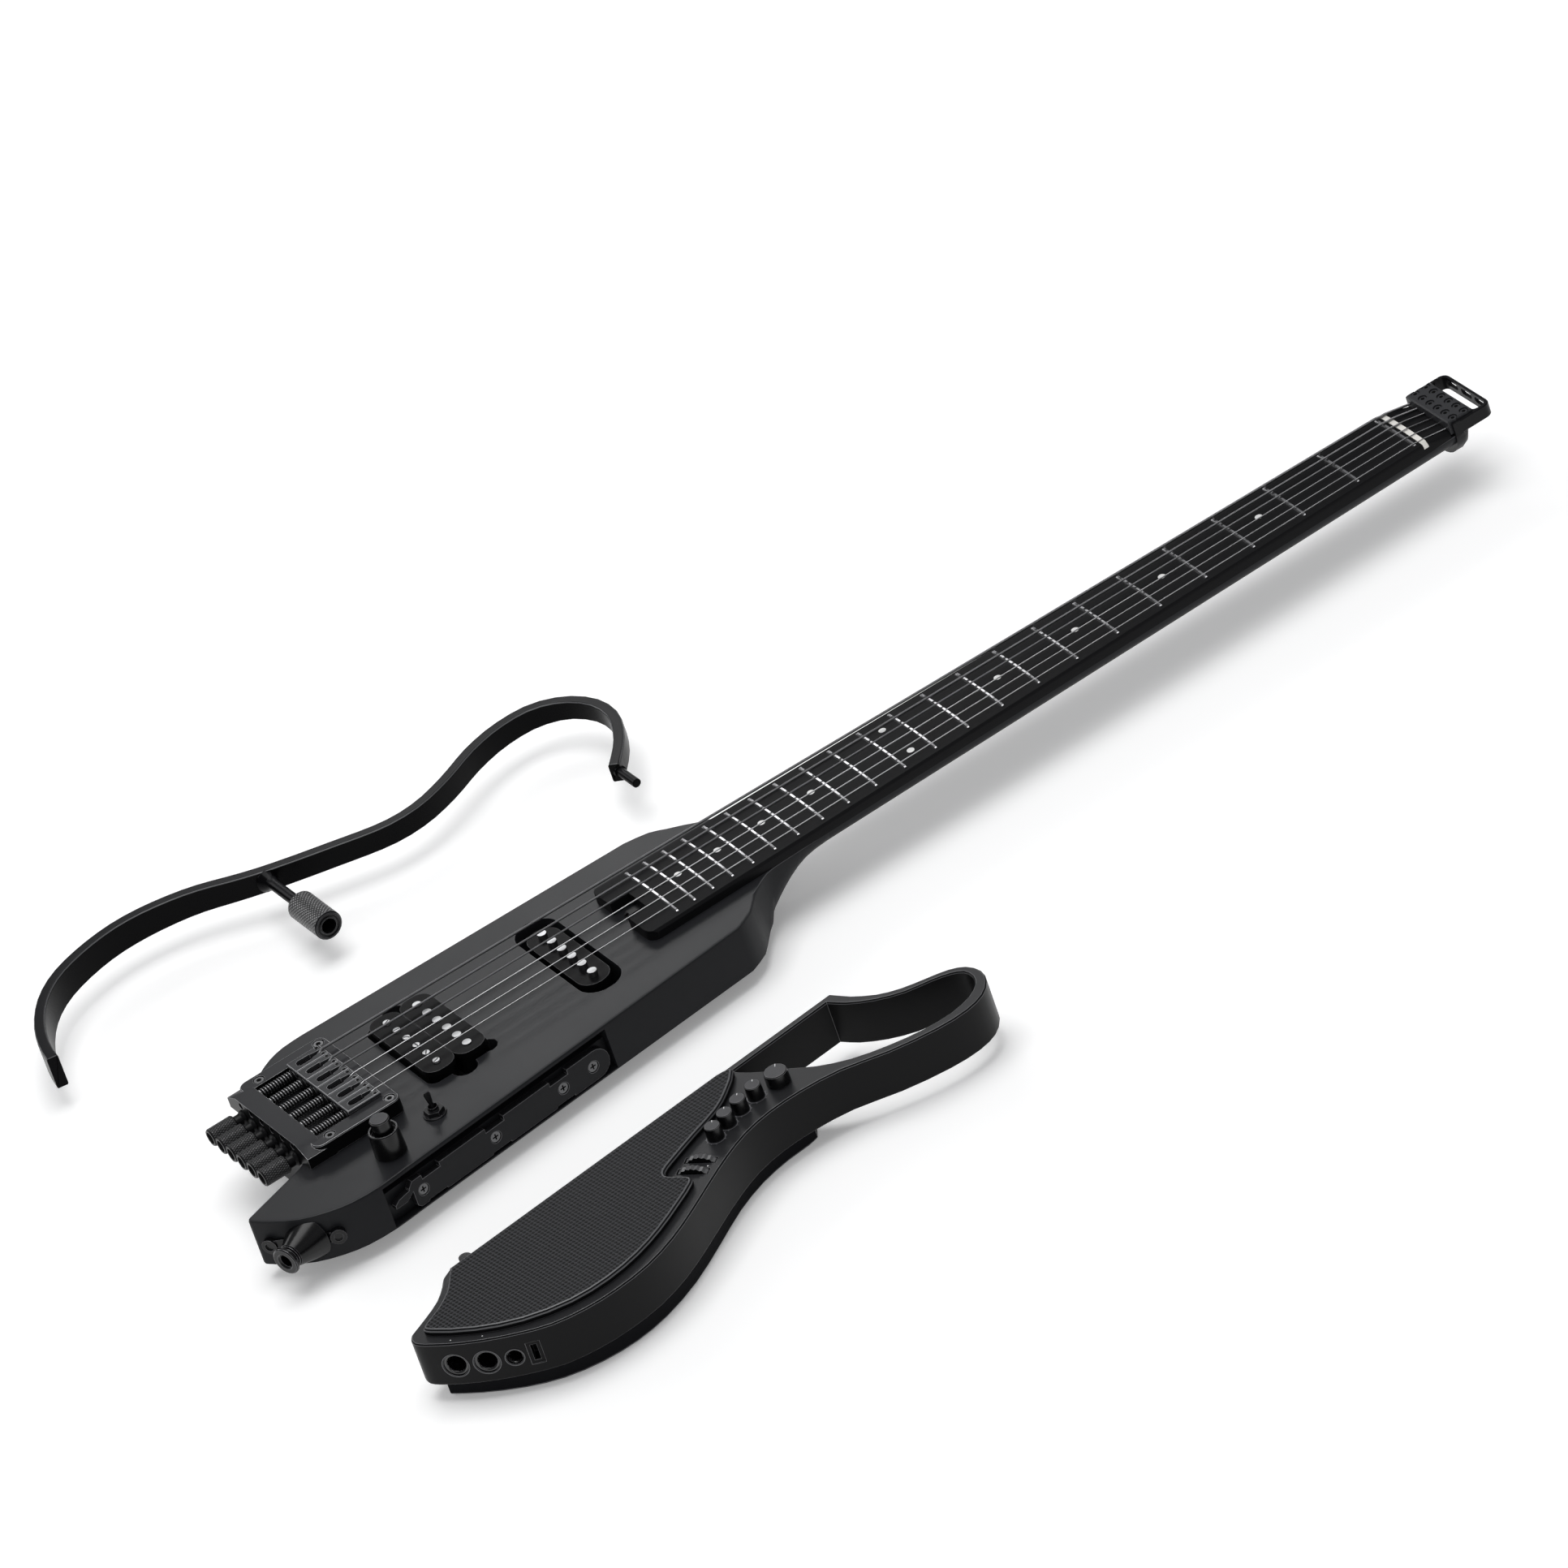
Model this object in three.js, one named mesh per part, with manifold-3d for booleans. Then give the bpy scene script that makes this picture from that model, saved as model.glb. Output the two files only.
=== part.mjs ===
// Headless travel guitar shown taken apart: playing body, clip-on upper frame, speaker module.
// Drawn in millimetres in the string frame: x runs from the tail to the head with zero at the
// zero fret, y runs to the bass side, z comes out of the playing face with zero on the board crown.
// The outer group then moves the whole part so that its origin sits on the back of the body.
import * as THREE from 'three';
import { mergeVertices } from 'three/addons/utils/BufferGeometryUtils.js';
import Module from 'manifold-3d';

const wasm = await Module();
wasm.setup();

// Driving dimensions of the strings and the neck
const SCALE_LENGTH = 648;
const FRET_COUNT = 22;
const STRING_COUNT = 6;
const NUT_STRING_PITCH = 7.1;
const BRIDGE_STRING_PITCH = 10.5;
const CROWN_RADIUS = 305;
const BOARD_THICKNESS = 7;
const BOARD_HALF_AT_NUT = 21.5;
const BOARD_TAPER_SHARE = 0.0171;
const FRET_HALF_AT_NUT = 18.7;
const FRET_HALF_AT_LAST = 26;
const FRET_HEIGHT = 1;
const NECK_DEPTH_AT_NUT = 11.9;
const NECK_DEPTH_AT_HEEL = 13.4;

// Driving dimensions of the body and of the docked parts
const BODY_TOP = -BOARD_THICKNESS;
const BODY_THICKNESS = 28;
const BODY_BACK = BODY_TOP - BODY_THICKNESS;
const DOCK_ANGLE = THREE.MathUtils.degToRad(6.5);
const MODULE_THICKNESS = 26;
const PAD_THICKNESS = 10.5;
const BORE_GAP = 0.3;
const SLIDE_GAP = 0.1;
const WELD_DISTANCE = 0.0001;
const OVERCUT = 5;
const FULL_TURN = Math.PI * 2;
const QUARTER_TURN = Math.PI / 2;
const SOFT_EDGE = 0.5;
const FINE_EDGE = 0.35;

// Where the origin of the finished part sits, in the string frame
const ORIGIN = { x: -560, y: -8, z: BODY_BACK };

// Smoothness of round things, in sides per full circle
const SIDES = { tiny: 6, small: 10, middle: 16, large: 24, knurl: 26 };
const CURVE_STEPS = 3;

// Outline of the body seen from the front, in runs of hand-chosen points
const BODY_OUTLINE = {
  trebleHorn: [[-419, -31.2], [-430, -40.3], [-438.6, -50.4], [-450.5, -57]],
  trebleTail: [[-667.6, -81.8], [-684, -83.8], [-700.5, -83], [-712.7, -79.2], [-726, -71.6], [-737, -60],
    [-743, -51.5]],
  tailNose: [[-743.5, -50.4], [-743.4, -49.3], [-742.8, -48.3], [-741.8, -47.7]],
  tailNotch: [[-706, -35.1], [-701.6, -33], [-699.4, -28.6]],
  bassTail: [[-699.4, 10], [-698, 22], [-693, 34], [-686, 44], [-676.5, 52.8], [-666.2, 59.2], [-656.5,
    62.2], [-645, 62.9]],
  bassHorn: [[-449.7, 58.3], [-436, 55], [-427.3, 48.9], [-419, 42.6]],
};
const BODY_EDGE_ROUND = 1.3;
const BODY_EDGE_STEPS = 2;

// Sections of the neck: place along x, depth below the board
const NECK_DEPTHS = [
  [22.2, NECK_DEPTH_AT_NUT], [-100, NECK_DEPTH_AT_NUT + 0.4], [-300, NECK_DEPTH_AT_HEEL - 0.4], [-376,
    NECK_DEPTH_AT_HEEL],
];

// Sections of the heel, where the neck widens into the body: half widths to both sides, depth, roundness
const HEEL_SECTIONS = [
  { x: -376, treble: 27.3, bass: 27.3, depth: NECK_DEPTH_AT_HEEL, roundShare: 1 },
  { x: -385, treble: 27.8, bass: 28.2, depth: 14.1, roundShare: 1 },
  { x: -391, treble: 28.1, bass: 29.4, depth: 15.8, roundShare: 0.98 },
  { x: -396, treble: 28.3, bass: 30.6, depth: 18.6, roundShare: 0.95 },
  { x: -401, treble: 28.4, bass: 32.2, depth: 22.2, roundShare: 0.9 },
  { x: -406, treble: 28.7, bass: 34.2, depth: 25.1, roundShare: 0.8 },
  { x: -411, treble: 29, bass: 37.2, depth: 27, roundShare: 0.64 },
  { x: -416, treble: 30, bass: 40.3, depth: 27.6, roundShare: 0.45 },
  { x: -421, treble: 32.8, bass: 44.1, depth: 27.8, roundShare: 0.3 },
  { x: -430, treble: 39, bass: 50, depth: 27.8, roundShare: 0.2 },
];
const NECK_SIDE_STEP = 0.6;
const NECK_SECTION_POINTS = 16;

// Pocket for the single coil pickup and the pickup in it
const NECK_COIL = {
  x: -519.6, poleHalf: 25, pocketHalfWidth: 12, pocketHalfLength: 42, pocketFloor: -24,
  bobbinHalfWidth: 9.2, bobbinHalfLength: 33, bobbinTop: -7.6, bobbinBottom: -22,
  poleRadius: 2.5, poleTop: -4.6, polePitch: 10,
};

// Pocket for the double coil pickup and its three pieces
const BRIDGE_COIL = {
  x: -604.1, pocketHalfWidth: 19.6, pocketHalfLength: 34.4, pocketCorner: 5, pocketFloor: -25,
  earX: -604.1, earReach: 35.2, earRadius: 7, wireX: -587, wireY: -29.8, wireRadius: 5.4,
  coilOffset: 9.2, coilHalfWidth: 9.1, coilHalfLength: 33, coilCorner: 7.4, coilTop: -2.2, coilSkirt: 3,
  windingInset: 1.6, windingBottom: -16, plateHalfWidth: 18.6, plateHalfLength: 33.4, plateThickness: 1.6,
  plateEarHalfWidth: 4.4, plateEarReach: 40.2, poleRadius: 2.4, poleProud: 0.5, polePitch: 10,
  screwDome: 0.9,
};

// Width of the pull blocks under the bridge and the room that the tub leaves beside the outer ones
const PULL_BLOCK_HALF = 4.2;
const TUB_SIDE_ROOM = 1.85;
const TUB_WALL = 0.7;
const TUB_HALF = ((STRING_COUNT - 1) * BRIDGE_STRING_PITCH) / 2 + PULL_BLOCK_HALF + TUB_SIDE_ROOM;

// Bridge: a deck with a raised rear wall over a tub that is let into the body
const BRIDGE = {
  front: -642.4, rear: -700.4, wallFront: -689, halfWidth: 41, corner: 5, deckTop: 1.8, wallTop: 3.2,
  wallTopHalf: 31, wallLow: -1, tubFront: -645, tubHalf: TUB_HALF, tubBottom: -10.8,
  wellHalf: TUB_HALF - TUB_WALL,
  wellFloor: -9.6, deckBottom: -1.5, windowFront: -663.2, slotFront: -649.6, slotWidth: 4.8,
  screwX: 36, screwY: 36, screwMiddle: -665.2, screwRadius: 3.2, screwSink: 1.2,
  rodHoleRadius: 1.95, pullHoleRadius: 1.65,
};

// String saddle with its intonation rod
const SADDLE = {
  front: -648.7, rear: -668.5, width: 10.2, thickness: 2.4, rodRadius: 1.6, rodZ: 0.5, rodEnd: -696,
  lugLength: 1.8, lugHalfWidth: 2.6, lugBottom: -1.1, grooveWidth: 2.4, grooveDepth: 0.7,
  slotTipX: -650.4, slotTipWidth: 1.7, slotNeckX: -656.4, slotNeckWidth: 3.2, slotWidth: 4.4,
  slotEndX: -665.2,
  grubX: -651.1, grubY: 3.5, grubRadius: 1.25, grubSink: 1.1,
};

// Pull block and tuner barrel of each string
const PULLER = {
  front: -655, rear: -668, halfWidth: PULL_BLOCK_HALF, top: -2.4, bottom: -9.3, axisZ: -6.5,
  rodRadius: 1.3, rodEnd: -716, seatRadius: 2.1, seatX: -660, seatSink: 2.6,
};
const TUNER = {
  end: -721.2, knurlFront: -706.3, wallEnd: -700.7, knurlRadius: 4.8, rimRadius: 4.3, rimLength: 0.7,
  mouthRadius: 3.3, mouthDepth: 9, boreRadius: 1.65, neckRadius: 3.3, flareX: -702.6, flangeX: -701.5,
  flangeRadius: 4.3,
};

// Strings from treble to bass, radius in millimetres
const STRING_RADII = [0.3, 0.35, 0.42, 0.55, 0.68, 0.8];
const STRING_PATH = {
  blockX: 20.5, blockZ: -1.9, nutX: 4.5, saddleX: -649.6, saddleZ: 4.55, dropX: -652.6, dropZ: 3.2,
  endX: -657.6, endZ: -1.7, fretLift: 0.05,
};

// String guide, truss rod nut and the head
const NUT = { tailSide: 2.9, headSide: 6.1, crownLift: 0.35, bottom: -3.6, shoulderY: 18.8,
  shoulderDrop: 2.6 };
const TRUSS = {
  notchFront: -474.6, notchHalf: 8.7, nutRear: -483.3, nutHalf: 2.4, nutTop: -4.1, chamfer: 1.4,
  hexRadius: 1.3, hexDepth: 3, boardEnd: -486, boardCorner: 6,
};
const BOARD_HEAD = { x: 19.9, top: -2.4, edgeTop: -5.2, edgeStep: 4, narrow: 0.8 };
const HEAD = {
  rear: 22.2, front: 46.5, halfWidth: 21.7, corner: 4.5, top: 0.5, bottom: -7, seatFront: 36.2,
  seatFloor: -6.2,
  windowFront: 44.6, windowRear: 36.2, windowHalf: 19.8, windowCorner: 3, slotPitch: 12.7, slotHalf: 5,
  slotRadius: 1.7,
  slotZ: -2.6,
};
const COLLAR = [
  { x: 22.2, half: 21.4, depth: 18 }, { x: 27, half: 21.4, depth: 18 },
  { x: 29.4, half: 21, depth: 16.4 }, { x: 30.6, half: 20, depth: 12 },
];
const CLAMP = {
  rear: 20.5, front: 35.9, halfWidth: 19.7, top: 2.2, bottom: -6.2, edge: 0.7,
  screwRadius: 2.5, screwSink: 1.4, rowRear: 25.2, rowFront: 32.2, pitch: 7,
};

// Dock channel and rail on the slanted treble side; s runs along that side from its middle
const DOCK = { x: -559, y: -69.4, screwX: -567 };
const CHANNEL = { tail: -126, head: 19.5, top: -9.4, bottom: -33.6, depth: 5, deepDepth: 9,
  deepBottom: -16.4 };
const RAIL = {
  tail: -112, head: 17.4, top: -16.6, bottom: -33, thickness: 3.6, sink: 0.6, notchDepth: 2.6,
  lowerNotchDepth: 0.9,
  notches: [[-103, -91.5], [-61.5, -49.6], [-19.4, -7.8]],
  hookRear: -122, hookTop: -17.6, hookNeck: -22.4, hookMouth: 5.6,
  screwS: [-104.2, -57, -12.6, 7], screwZ: -24.9, screwRadius: 2.9, screwSink: 0.5, sinkRadius: 3.3,
  sinkDepth: 1.3, crossWidth: 0.8, crossRim: 1.2, crossDepth: 1,
};

// Jack housing with the strap button socket on the tail
const JACK = {
  x: -740.4, y: -75.8, z: -21, angle: THREE.MathUtils.degToRad(201.5), coneLength: 19, coneSmall: 6.6,
  coneBig: 12.6,
  earRadius: 4.3, earDepth: 16, earProud: 3.4, tailEar: [-738.6, -57.2], trebleEar: [-712.2, -79.4],
  tailEarAngle: THREE.MathUtils.degToRad(215), trebleEarAngle: THREE.MathUtils.degToRad(245),
  screwRadius: 2.4,
  screwSink: 0.9, socketRadius: 7.6, waist: 5.2, flange: 2.2, waistLength: 3.2, seat: 6.2, mouth: 3.3,
  mouthDepth: 14,
};

// Concentric knobs and the switch on the face of the body
const STACK = {
  x: -666, y: -64, ringTopRadius: 7.9, ringBaseRadius: 8.4, ringTop: 7.6, cupDepth: 2.6, cupWall: 1.1,
  knobRadius: 5.2, knobTop: 14.4, knobEdge: 0.6, sleeveRadius: 3.6, sleeveDepth: 6, shaftRadius: 2.2,
  shaftDepth: 9,
};
const SWITCH = {
  x: -634.6, y: -56, washerRadius: 6.3, washer: 0.8, nutRadius: 5.6, nut: 2.6, collarRadius: 3.1,
  collarTop: 1.6,
  bore: 4, stemDepth: 7, boreRadius: 2, leverBase: -3.4, leverTip: 5.6, leverRadius: 1.2, tipHalfWidth: 1.9,
  tipHalfThick: 0.9, lean: THREE.MathUtils.degToRad(13), pivotZ: -3.4,
};

// Upper frame: middle line of the bar with its height at each point, then its section, post and pin
const FRAME_LINE = [
  [-737.5, 166.5, 19], [-734.2, 181.1, 19], [-726.2, 200.1, 18.5], [-713.4, 218.1, 17.7], [-696.8, 230.9,
    17],
  [-669.6, 240, 16.2], [-646.6, 241.2, 15.8], [-616.5, 234.7, 14.6], [-590.4, 221.8, 13.5], [-577.4, 216,
    13.1],
  [-547.5, 204.8, 12.9], [-515.4, 194.6, 12.7], [-495.9, 194.9, 12.8], [-476, 201.3, 13.2], [-452.6, 212.4,
    13.3],
  [-432.4, 217.6, 12.9], [-412.5, 216.6, 12.4], [-397.6, 207.5, 11.6], [-388.4, 191.1, 11.5], [-388, 172.7,
    11.3],
  [-396.9, 152.6, 11], [-405.6, 141.1, 11], [-411.5, 134.2, 11],
];
const FRAME = {
  z: -21, halfWidth: 3.1, round: 1, steps: 60, postX: -579.6, postTop: 214.4, postEnd: 176,
  postRadius: 3.1, flareRadius: 6.6,
  flareLength: 7, pinX: -409.6, pinTop: 136, pinEnd: 116.4, pinRadius: 2.5, pinRing: 3.4, pinRingLength: 3,
};
const THUMB = {
  front: 151.4, rear: 180.6, radius: 8, edge: 0.8, mouthRadius: 4.2, mouthDepth: 14, grooveInner: 4.9,
  grooveOuter: 6.4,
  grooveDepth: 0.8, rearBore: 3.4,
};
const PIN_HOLE = { depthY: 22, radius: 2.9 };

// Speaker module: outer line, handle opening and raised grille, seen from the front
const MODULE_MATE = { x: -574.2, y: -159.25, tail: -697.6, head: -450.8 };
const MODULE_OUTLINE = {
  handle: [[-444.3, -156.2], [-435.5, -165.8], [-424.8, -172.2], [-412.4, -176.2], [-400.6, -180], [-393.2,
    -185.8],
    [-390.3, -195], [-393.2, -205], [-401, -213.2], [-413, -217.4], [-431.2, -217.4], [-457.4, -212.2],
    [-481.5, -204], [-504, -201.4], [-523, -202.4], [-540, -206.8], [-556.5, -215], [-573.5, -225.6],
    [-591, -237.2],
    [-610, -248.4], [-630, -256.4], [-651, -259.8], [-669, -259.6], [-687, -255.8], [-703, -247], [-717.5,
      -236.4],
    [-729.5, -225.2], [-737.8, -215.4]],
  tailNose: [[-737.8, -215.4], [-740.4, -210.6], [-740, -206], [-737.4, -202.4]],
  tailCurve: [[-737.4, -202.4], [-726.6, -196.8], [-715, -189.8], [-707, -181.8], [-703, -176.6], [-697.6,
    -173.3]],
};
const HANDLE_OPENING = [
  [-516.4, -157.2], [-515.8, -160], [-506.8, -171.2], [-497.3, -179.8], [-487, -190.4], [-472.6, -200.2],
  [-454.7, -207], [-435.1, -211.4], [-419.3, -211.8], [-406.5, -208.2], [-399, -202.4], [-396, -195.8],
  [-396.9, -188.8], [-401.8, -184.4], [-410.8, -180.8], [-425.2, -177], [-438.6, -169.4], [-449.8, -159],
  [-455.6, -150.2],
];
const GRILLE_OUTLINE = [
  [-526.6, -157.6], [-519.2, -158.6], [-518.4, -161.6], [-530, -174.2], [-541, -182.4], [-559, -190.2],
  [-578.5, -199.2],
  [-585.4, -203.2], [-587, -206.6], [-585.4, -209.8], [-580.2, -216.6], [-579.6, -219.8], [-582, -223],
  [-595, -231.4], [-612, -241.2], [-630, -248.8], [-650, -253.2], [-672, -252.8], [-696, -244.8], [-716,
    -230.6],
  [-731.4, -213], [-733, -208.8], [-730.6, -206], [-720, -200.4], [-709.6, -192], [-702.8, -182.8],
  [-698.4, -177.2],
];
const GRILLE = { height: 4, slope: 1.2, z: BODY_TOP };
const SOCKET_LOOK = 20;
const MODULE_EDGE = 0.8;
const MODULE_LOWER_EDGE = 1.8;
const MODULE_SEAM = -20;
const MODULE_FIELD = { low: -1000 };
const PAD_OUTLINE = [
  [-733, -212.6], [-722, -225.4], [-705, -240.6], [-688, -250.8], [-668, -256.2], [-648, -256.8], [-628,
    -252.6],
  [-604, -242], [-580, -226.4], [-558, -211.4], [-538, -201.6], [-520, -196.8], [-506, -195.2], [-500.4,
    -193.6],
];
const PAD_HIDDEN_SIDE = [[-495.2, -184.4], [-530, -176], [-600, -184], [-680, -192], [-722, -202]];
const PAD_EDGE = 1.2;
const DRIVER = {
  x: -650, y: -211, pocketRadius: 35.5, pocketFloor: -31, basketRadius: 34.6, basketRim: 3, rimTop: -7.6,
  coneRadius: 29, coneDepth: 9, capRadius: 9, capRise: 2.4, magnetRadius: 20, magnetBottom: -30.6,
  neckZ: -22,
};
const AMP_KNOBS = [[-552.2, -197.4], [-542.3, -193.2], [-532, -189.3], [-520.9, -186.3]];
const AMP_KNOB = { radius: 4.15, baseRadius: 4.5, top: 1, lift: 0.4, shaftRadius: 1.6, shaftDepth: 6,
  edge: 0.4 };
const MASTER_KNOB = { x: -507.2, y: -186.2, radius: 6.1, baseRadius: 6.3, top: 0.6, lift: 0.4,
  shaftRadius: 2.2, shaftDepth: 7, edge: 0.5 };
const WHEELS = [[-567.1, -206.5], [-574.7, -211.1]];
const WHEEL = {
  radius: 11, halfThickness: 1.7, centreZ: -15, angle: THREE.MathUtils.degToRad(-50), slotHalf: 8.6,
  pitHalf: 11.6,
  pitTop: -8.6, axleRadius: 1.5, axleHalf: 4.2, toothDepth: 0.7, teeth: 24, pitFloor: -26.8,
};
const SOCKETS = [
  { x: -729.6, y: -225, outer: 6.9, radius: 4.7, depth: 14 }, { x: -717.8, y: -236.1, outer: 6.9,
    radius: 4.7, depth: 14 },
  { x: -706.6, y: -244.8, outer: 4.8, radius: 3.2, depth: 12 },
];
const USB = { x: -697.6, y: -250.2, halfWidth: 3.6, halfHeight: 6.6, slotHalf: 1.6, slotHeight: 4.6,
  depth: 8, sink: 0.5 };
const SOCKET_Z = -20.6;
const SOCKET_SINK = 0.6;
const LATCH = { x: -684.8, z: -11.2, halfWidth: 3.4, halfHeight: 1.5, proud: 8, tail: 9, room: 14 };

// Colours
const COLOURS = {
  body: 0x34363b, board: 0x26272a, hardware: 0x1c1d1f, steel: 0xc9cbd0, bone: 0xe9e6df, plastic: 0x17181a,
  rail: 0x2b2d31, grille: 0x3a3c40, pad: 0x303237, wire: 0xb9bbbf, paper: 0x202124,
};

/** Turn a closed mesh into a solid that can be joined and cut. */
function toSolid(geometry) {
  const plain = new THREE.BufferGeometry();
  plain.setAttribute('position', geometry.getAttribute('position').clone());
  if (geometry.index) {
    plain.setIndex(geometry.index.clone());
  }
  const merged = mergeVertices(plain, WELD_DISTANCE);
  const corners = merged.getAttribute('position').array;
  const kept = [];
  let volume = 0;
  for (let i = 0; i < merged.index.count; i += 3) {
    const a = merged.index.getX(i);
    const b = merged.index.getX(i + 1);
    const c = merged.index.getX(i + 2);
    if (a !== b && b !== c && c !== a) {
      kept.push(a, b, c);
      const p = new THREE.Vector3().fromArray(corners, a * 3);
      const q = new THREE.Vector3().fromArray(corners, b * 3);
      const r = new THREE.Vector3().fromArray(corners, c * 3);
      volume += p.dot(q.cross(r));
    }
  }
  if (volume < 0) {
    kept.reverse();
  }
  const mesh = new wasm.Mesh({
    numProp: 3,
    vertProperties: new Float32Array(corners),
    triVerts: new Uint32Array(kept),
  });
  return new wasm.Manifold(mesh);
}

/** Turn a solid back into a mesh for drawing. */
function toGeometry(solid) {
  const mesh = solid.getMesh();
  const geometry = new THREE.BufferGeometry();
  geometry.setAttribute('position', new THREE.BufferAttribute(new Float32Array(mesh.vertProperties), 3));
  geometry.setIndex(new THREE.BufferAttribute(new Uint32Array(mesh.triVerts), 1));
  geometry.computeVertexNormals();
  return geometry;
}

/** Block between two opposite corners given as low and high values. */
function block(lowX, highX, lowY, highY, lowZ, highZ) {
  const geometry = new THREE.BoxGeometry(highX - lowX, highY - lowY, highZ - lowZ);
  geometry.translate((lowX + highX) / 2, (lowY + highY) / 2, (lowZ + highZ) / 2);
  return toSolid(geometry);
}

/** Upright cylinder or cone frustum between two heights. */
function upright(x, y, lowZ, highZ, lowRadius, highRadius, sides) {
  const geometry = new THREE.CylinderGeometry(highRadius, lowRadius, highZ - lowZ, sides);
  geometry.rotateX(QUARTER_TURN);
  geometry.translate(x, y, (lowZ + highZ) / 2);
  return toSolid(geometry);
}

/** Cylinder along x between two places. */
function alongX(lowX, highX, y, z, radius, sides) {
  const geometry = new THREE.CylinderGeometry(radius, radius, highX - lowX, sides);
  geometry.rotateZ(QUARTER_TURN);
  geometry.translate((lowX + highX) / 2, y, z);
  return toSolid(geometry);
}

/** Cylinder along y between two places. */
function alongY(x, lowY, highY, z, radius, sides) {
  const geometry = new THREE.CylinderGeometry(radius, radius, highY - lowY, sides);
  geometry.translate(x, (lowY + highY) / 2, z);
  return toSolid(geometry);
}

/** Turned body from a profile of [radius, height] pairs that starts and ends on the axis. */
function turned(profile, sides) {
  const points = profile.map(([radius, height]) => new THREE.Vector2(radius, height));
  return new THREE.LatheGeometry(points, sides);
}

/** Turned body standing along z at a place. */
function turnedZ(profile, sides, x, y) {
  const geometry = turned(profile, sides);
  geometry.rotateX(QUARTER_TURN);
  geometry.translate(x, y, 0);
  return toSolid(geometry);
}

/** Turned body lying along x at a place; heights of the profile become x values. */
function turnedX(profile, sides, y, z) {
  const geometry = turned(profile, sides);
  geometry.rotateZ(-QUARTER_TURN);
  geometry.translate(0, y, z);
  return toSolid(geometry);
}

/** Turned body lying along y at a place; heights of the profile become y values. */
function turnedY(profile, sides, x, z) {
  const geometry = turned(profile, sides);
  geometry.translate(x, 0, z);
  return toSolid(geometry);
}

/** Closed shape from straight runs of points. */
function polygon(points) {
  return new THREE.Shape(points.map(([x, y]) => new THREE.Vector2(x, y)));
}

/** Points on a smooth curve through the given points. */
function smooth(points) {
  const curve = new THREE.CatmullRomCurve3(points.map(([x, y]) => new THREE.Vector3(x, y, 0)), false,
    'centripetal');
  const steps = Math.max(points.length * 2 - 2, CURVE_STEPS);
  return curve.getPoints(steps).map((point) => [point.x, point.y]);
}

/** Plate with a flat outline between two heights, with its rims rounded by an edge. */
function plate(shape, lowZ, highZ, edge = 0, steps = 1) {
  const rounded = edge > 0;
  const geometry = new THREE.ExtrudeGeometry(shape, {
    depth: highZ - lowZ - 2 * edge,
    bevelEnabled: rounded,
    bevelThickness: edge,
    bevelSize: edge,
    bevelOffset: -edge,
    bevelSegments: steps,
    curveSegments: CURVE_STEPS,
    steps: 1,
  });
  geometry.translate(0, 0, lowZ + edge);
  return toSolid(geometry);
}

/** Rectangle with round corners. */
function roundedRectangle(lowX, highX, lowY, highY, radius) {
  const shape = new THREE.Shape();
  shape.moveTo(lowX + radius, lowY);
  shape.lineTo(highX - radius, lowY);
  shape.absarc(highX - radius, lowY + radius, radius, -QUARTER_TURN, 0, false);
  shape.lineTo(highX, highY - radius);
  shape.absarc(highX - radius, highY - radius, radius, 0, QUARTER_TURN, false);
  shape.lineTo(lowX + radius, highY);
  shape.absarc(lowX + radius, highY - radius, radius, QUARTER_TURN, 2 * QUARTER_TURN, false);
  shape.lineTo(lowX, lowY + radius);
  shape.absarc(lowX + radius, lowY + radius, radius, 2 * QUARTER_TURN, 3 * QUARTER_TURN, false);
  return shape;
}

/** Solid stretched over rings of points; every ring has the same number of points and is convex. */
function skin(rings) {
  const count = rings[0].length;
  const positions = rings.flat().flatMap((point) => [point.x, point.y, point.z]);
  const faces = [];
  for (let row = 0; row + 1 < rings.length; row += 1) {
    for (let i = 0; i < count; i += 1) {
      const next = (i + 1) % count;
      const a = row * count + i;
      const b = row * count + next;
      faces.push(a, b, a + count, b, b + count, a + count);
    }
  }
  const last = (rings.length - 1) * count;
  for (let i = 1; i + 1 < count; i += 1) {
    faces.push(0, i + 1, i, last, last + i, last + i + 1);
  }
  const geometry = new THREE.BufferGeometry();
  geometry.setAttribute('position', new THREE.Float32BufferAttribute(positions, 3));
  geometry.setIndex(faces);
  return toSolid(geometry);
}

/** Join a list of solids. */
function joined(list) {
  return list.reduce((sum, solid) => sum.add(solid));
}

/** Cut every solid of a list from the first one. */
function cut(solid, list) {
  return list.reduce((rest, tool) => rest.subtract(tool), solid);
}

/** Named mesh with its own plain material. */
function named(name, solid, colour, metalness = 0.1, roughness = 0.6) {
  const material = new THREE.MeshStandardMaterial({ color: colour, metalness, roughness });
  const mesh = new THREE.Mesh(toGeometry(solid), material);
  mesh.name = name;
  return mesh;
}

/** Distance of a fret from the zero fret. */
function fretDistance(fret) {
  return SCALE_LENGTH * (1 - 2 ** (-fret / 12));
}

/** Half width of the board at a place along x. */
function boardHalf(x) {
  return BOARD_HALF_AT_NUT - x * BOARD_TAPER_SHARE;
}

/** Drop of the crowned board face at a distance from its middle. */
function crown(y) {
  return -(y * y) / (2 * CROWN_RADIUS);
}

/** Side position of a string at a place along x; string zero is the treble one. */
function stringY(index, x) {
  const share = -x / SCALE_LENGTH;
  const pitch = NUT_STRING_PITCH + (BRIDGE_STRING_PITCH - NUT_STRING_PITCH) * Math.max(share, 0);
  return (index - (STRING_COUNT - 1) / 2) * pitch;
}

/** Side position of a string at the bridge. */
function bridgeY(index) {
  return (index - (STRING_COUNT - 1) / 2) * BRIDGE_STRING_PITCH;
}

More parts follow.
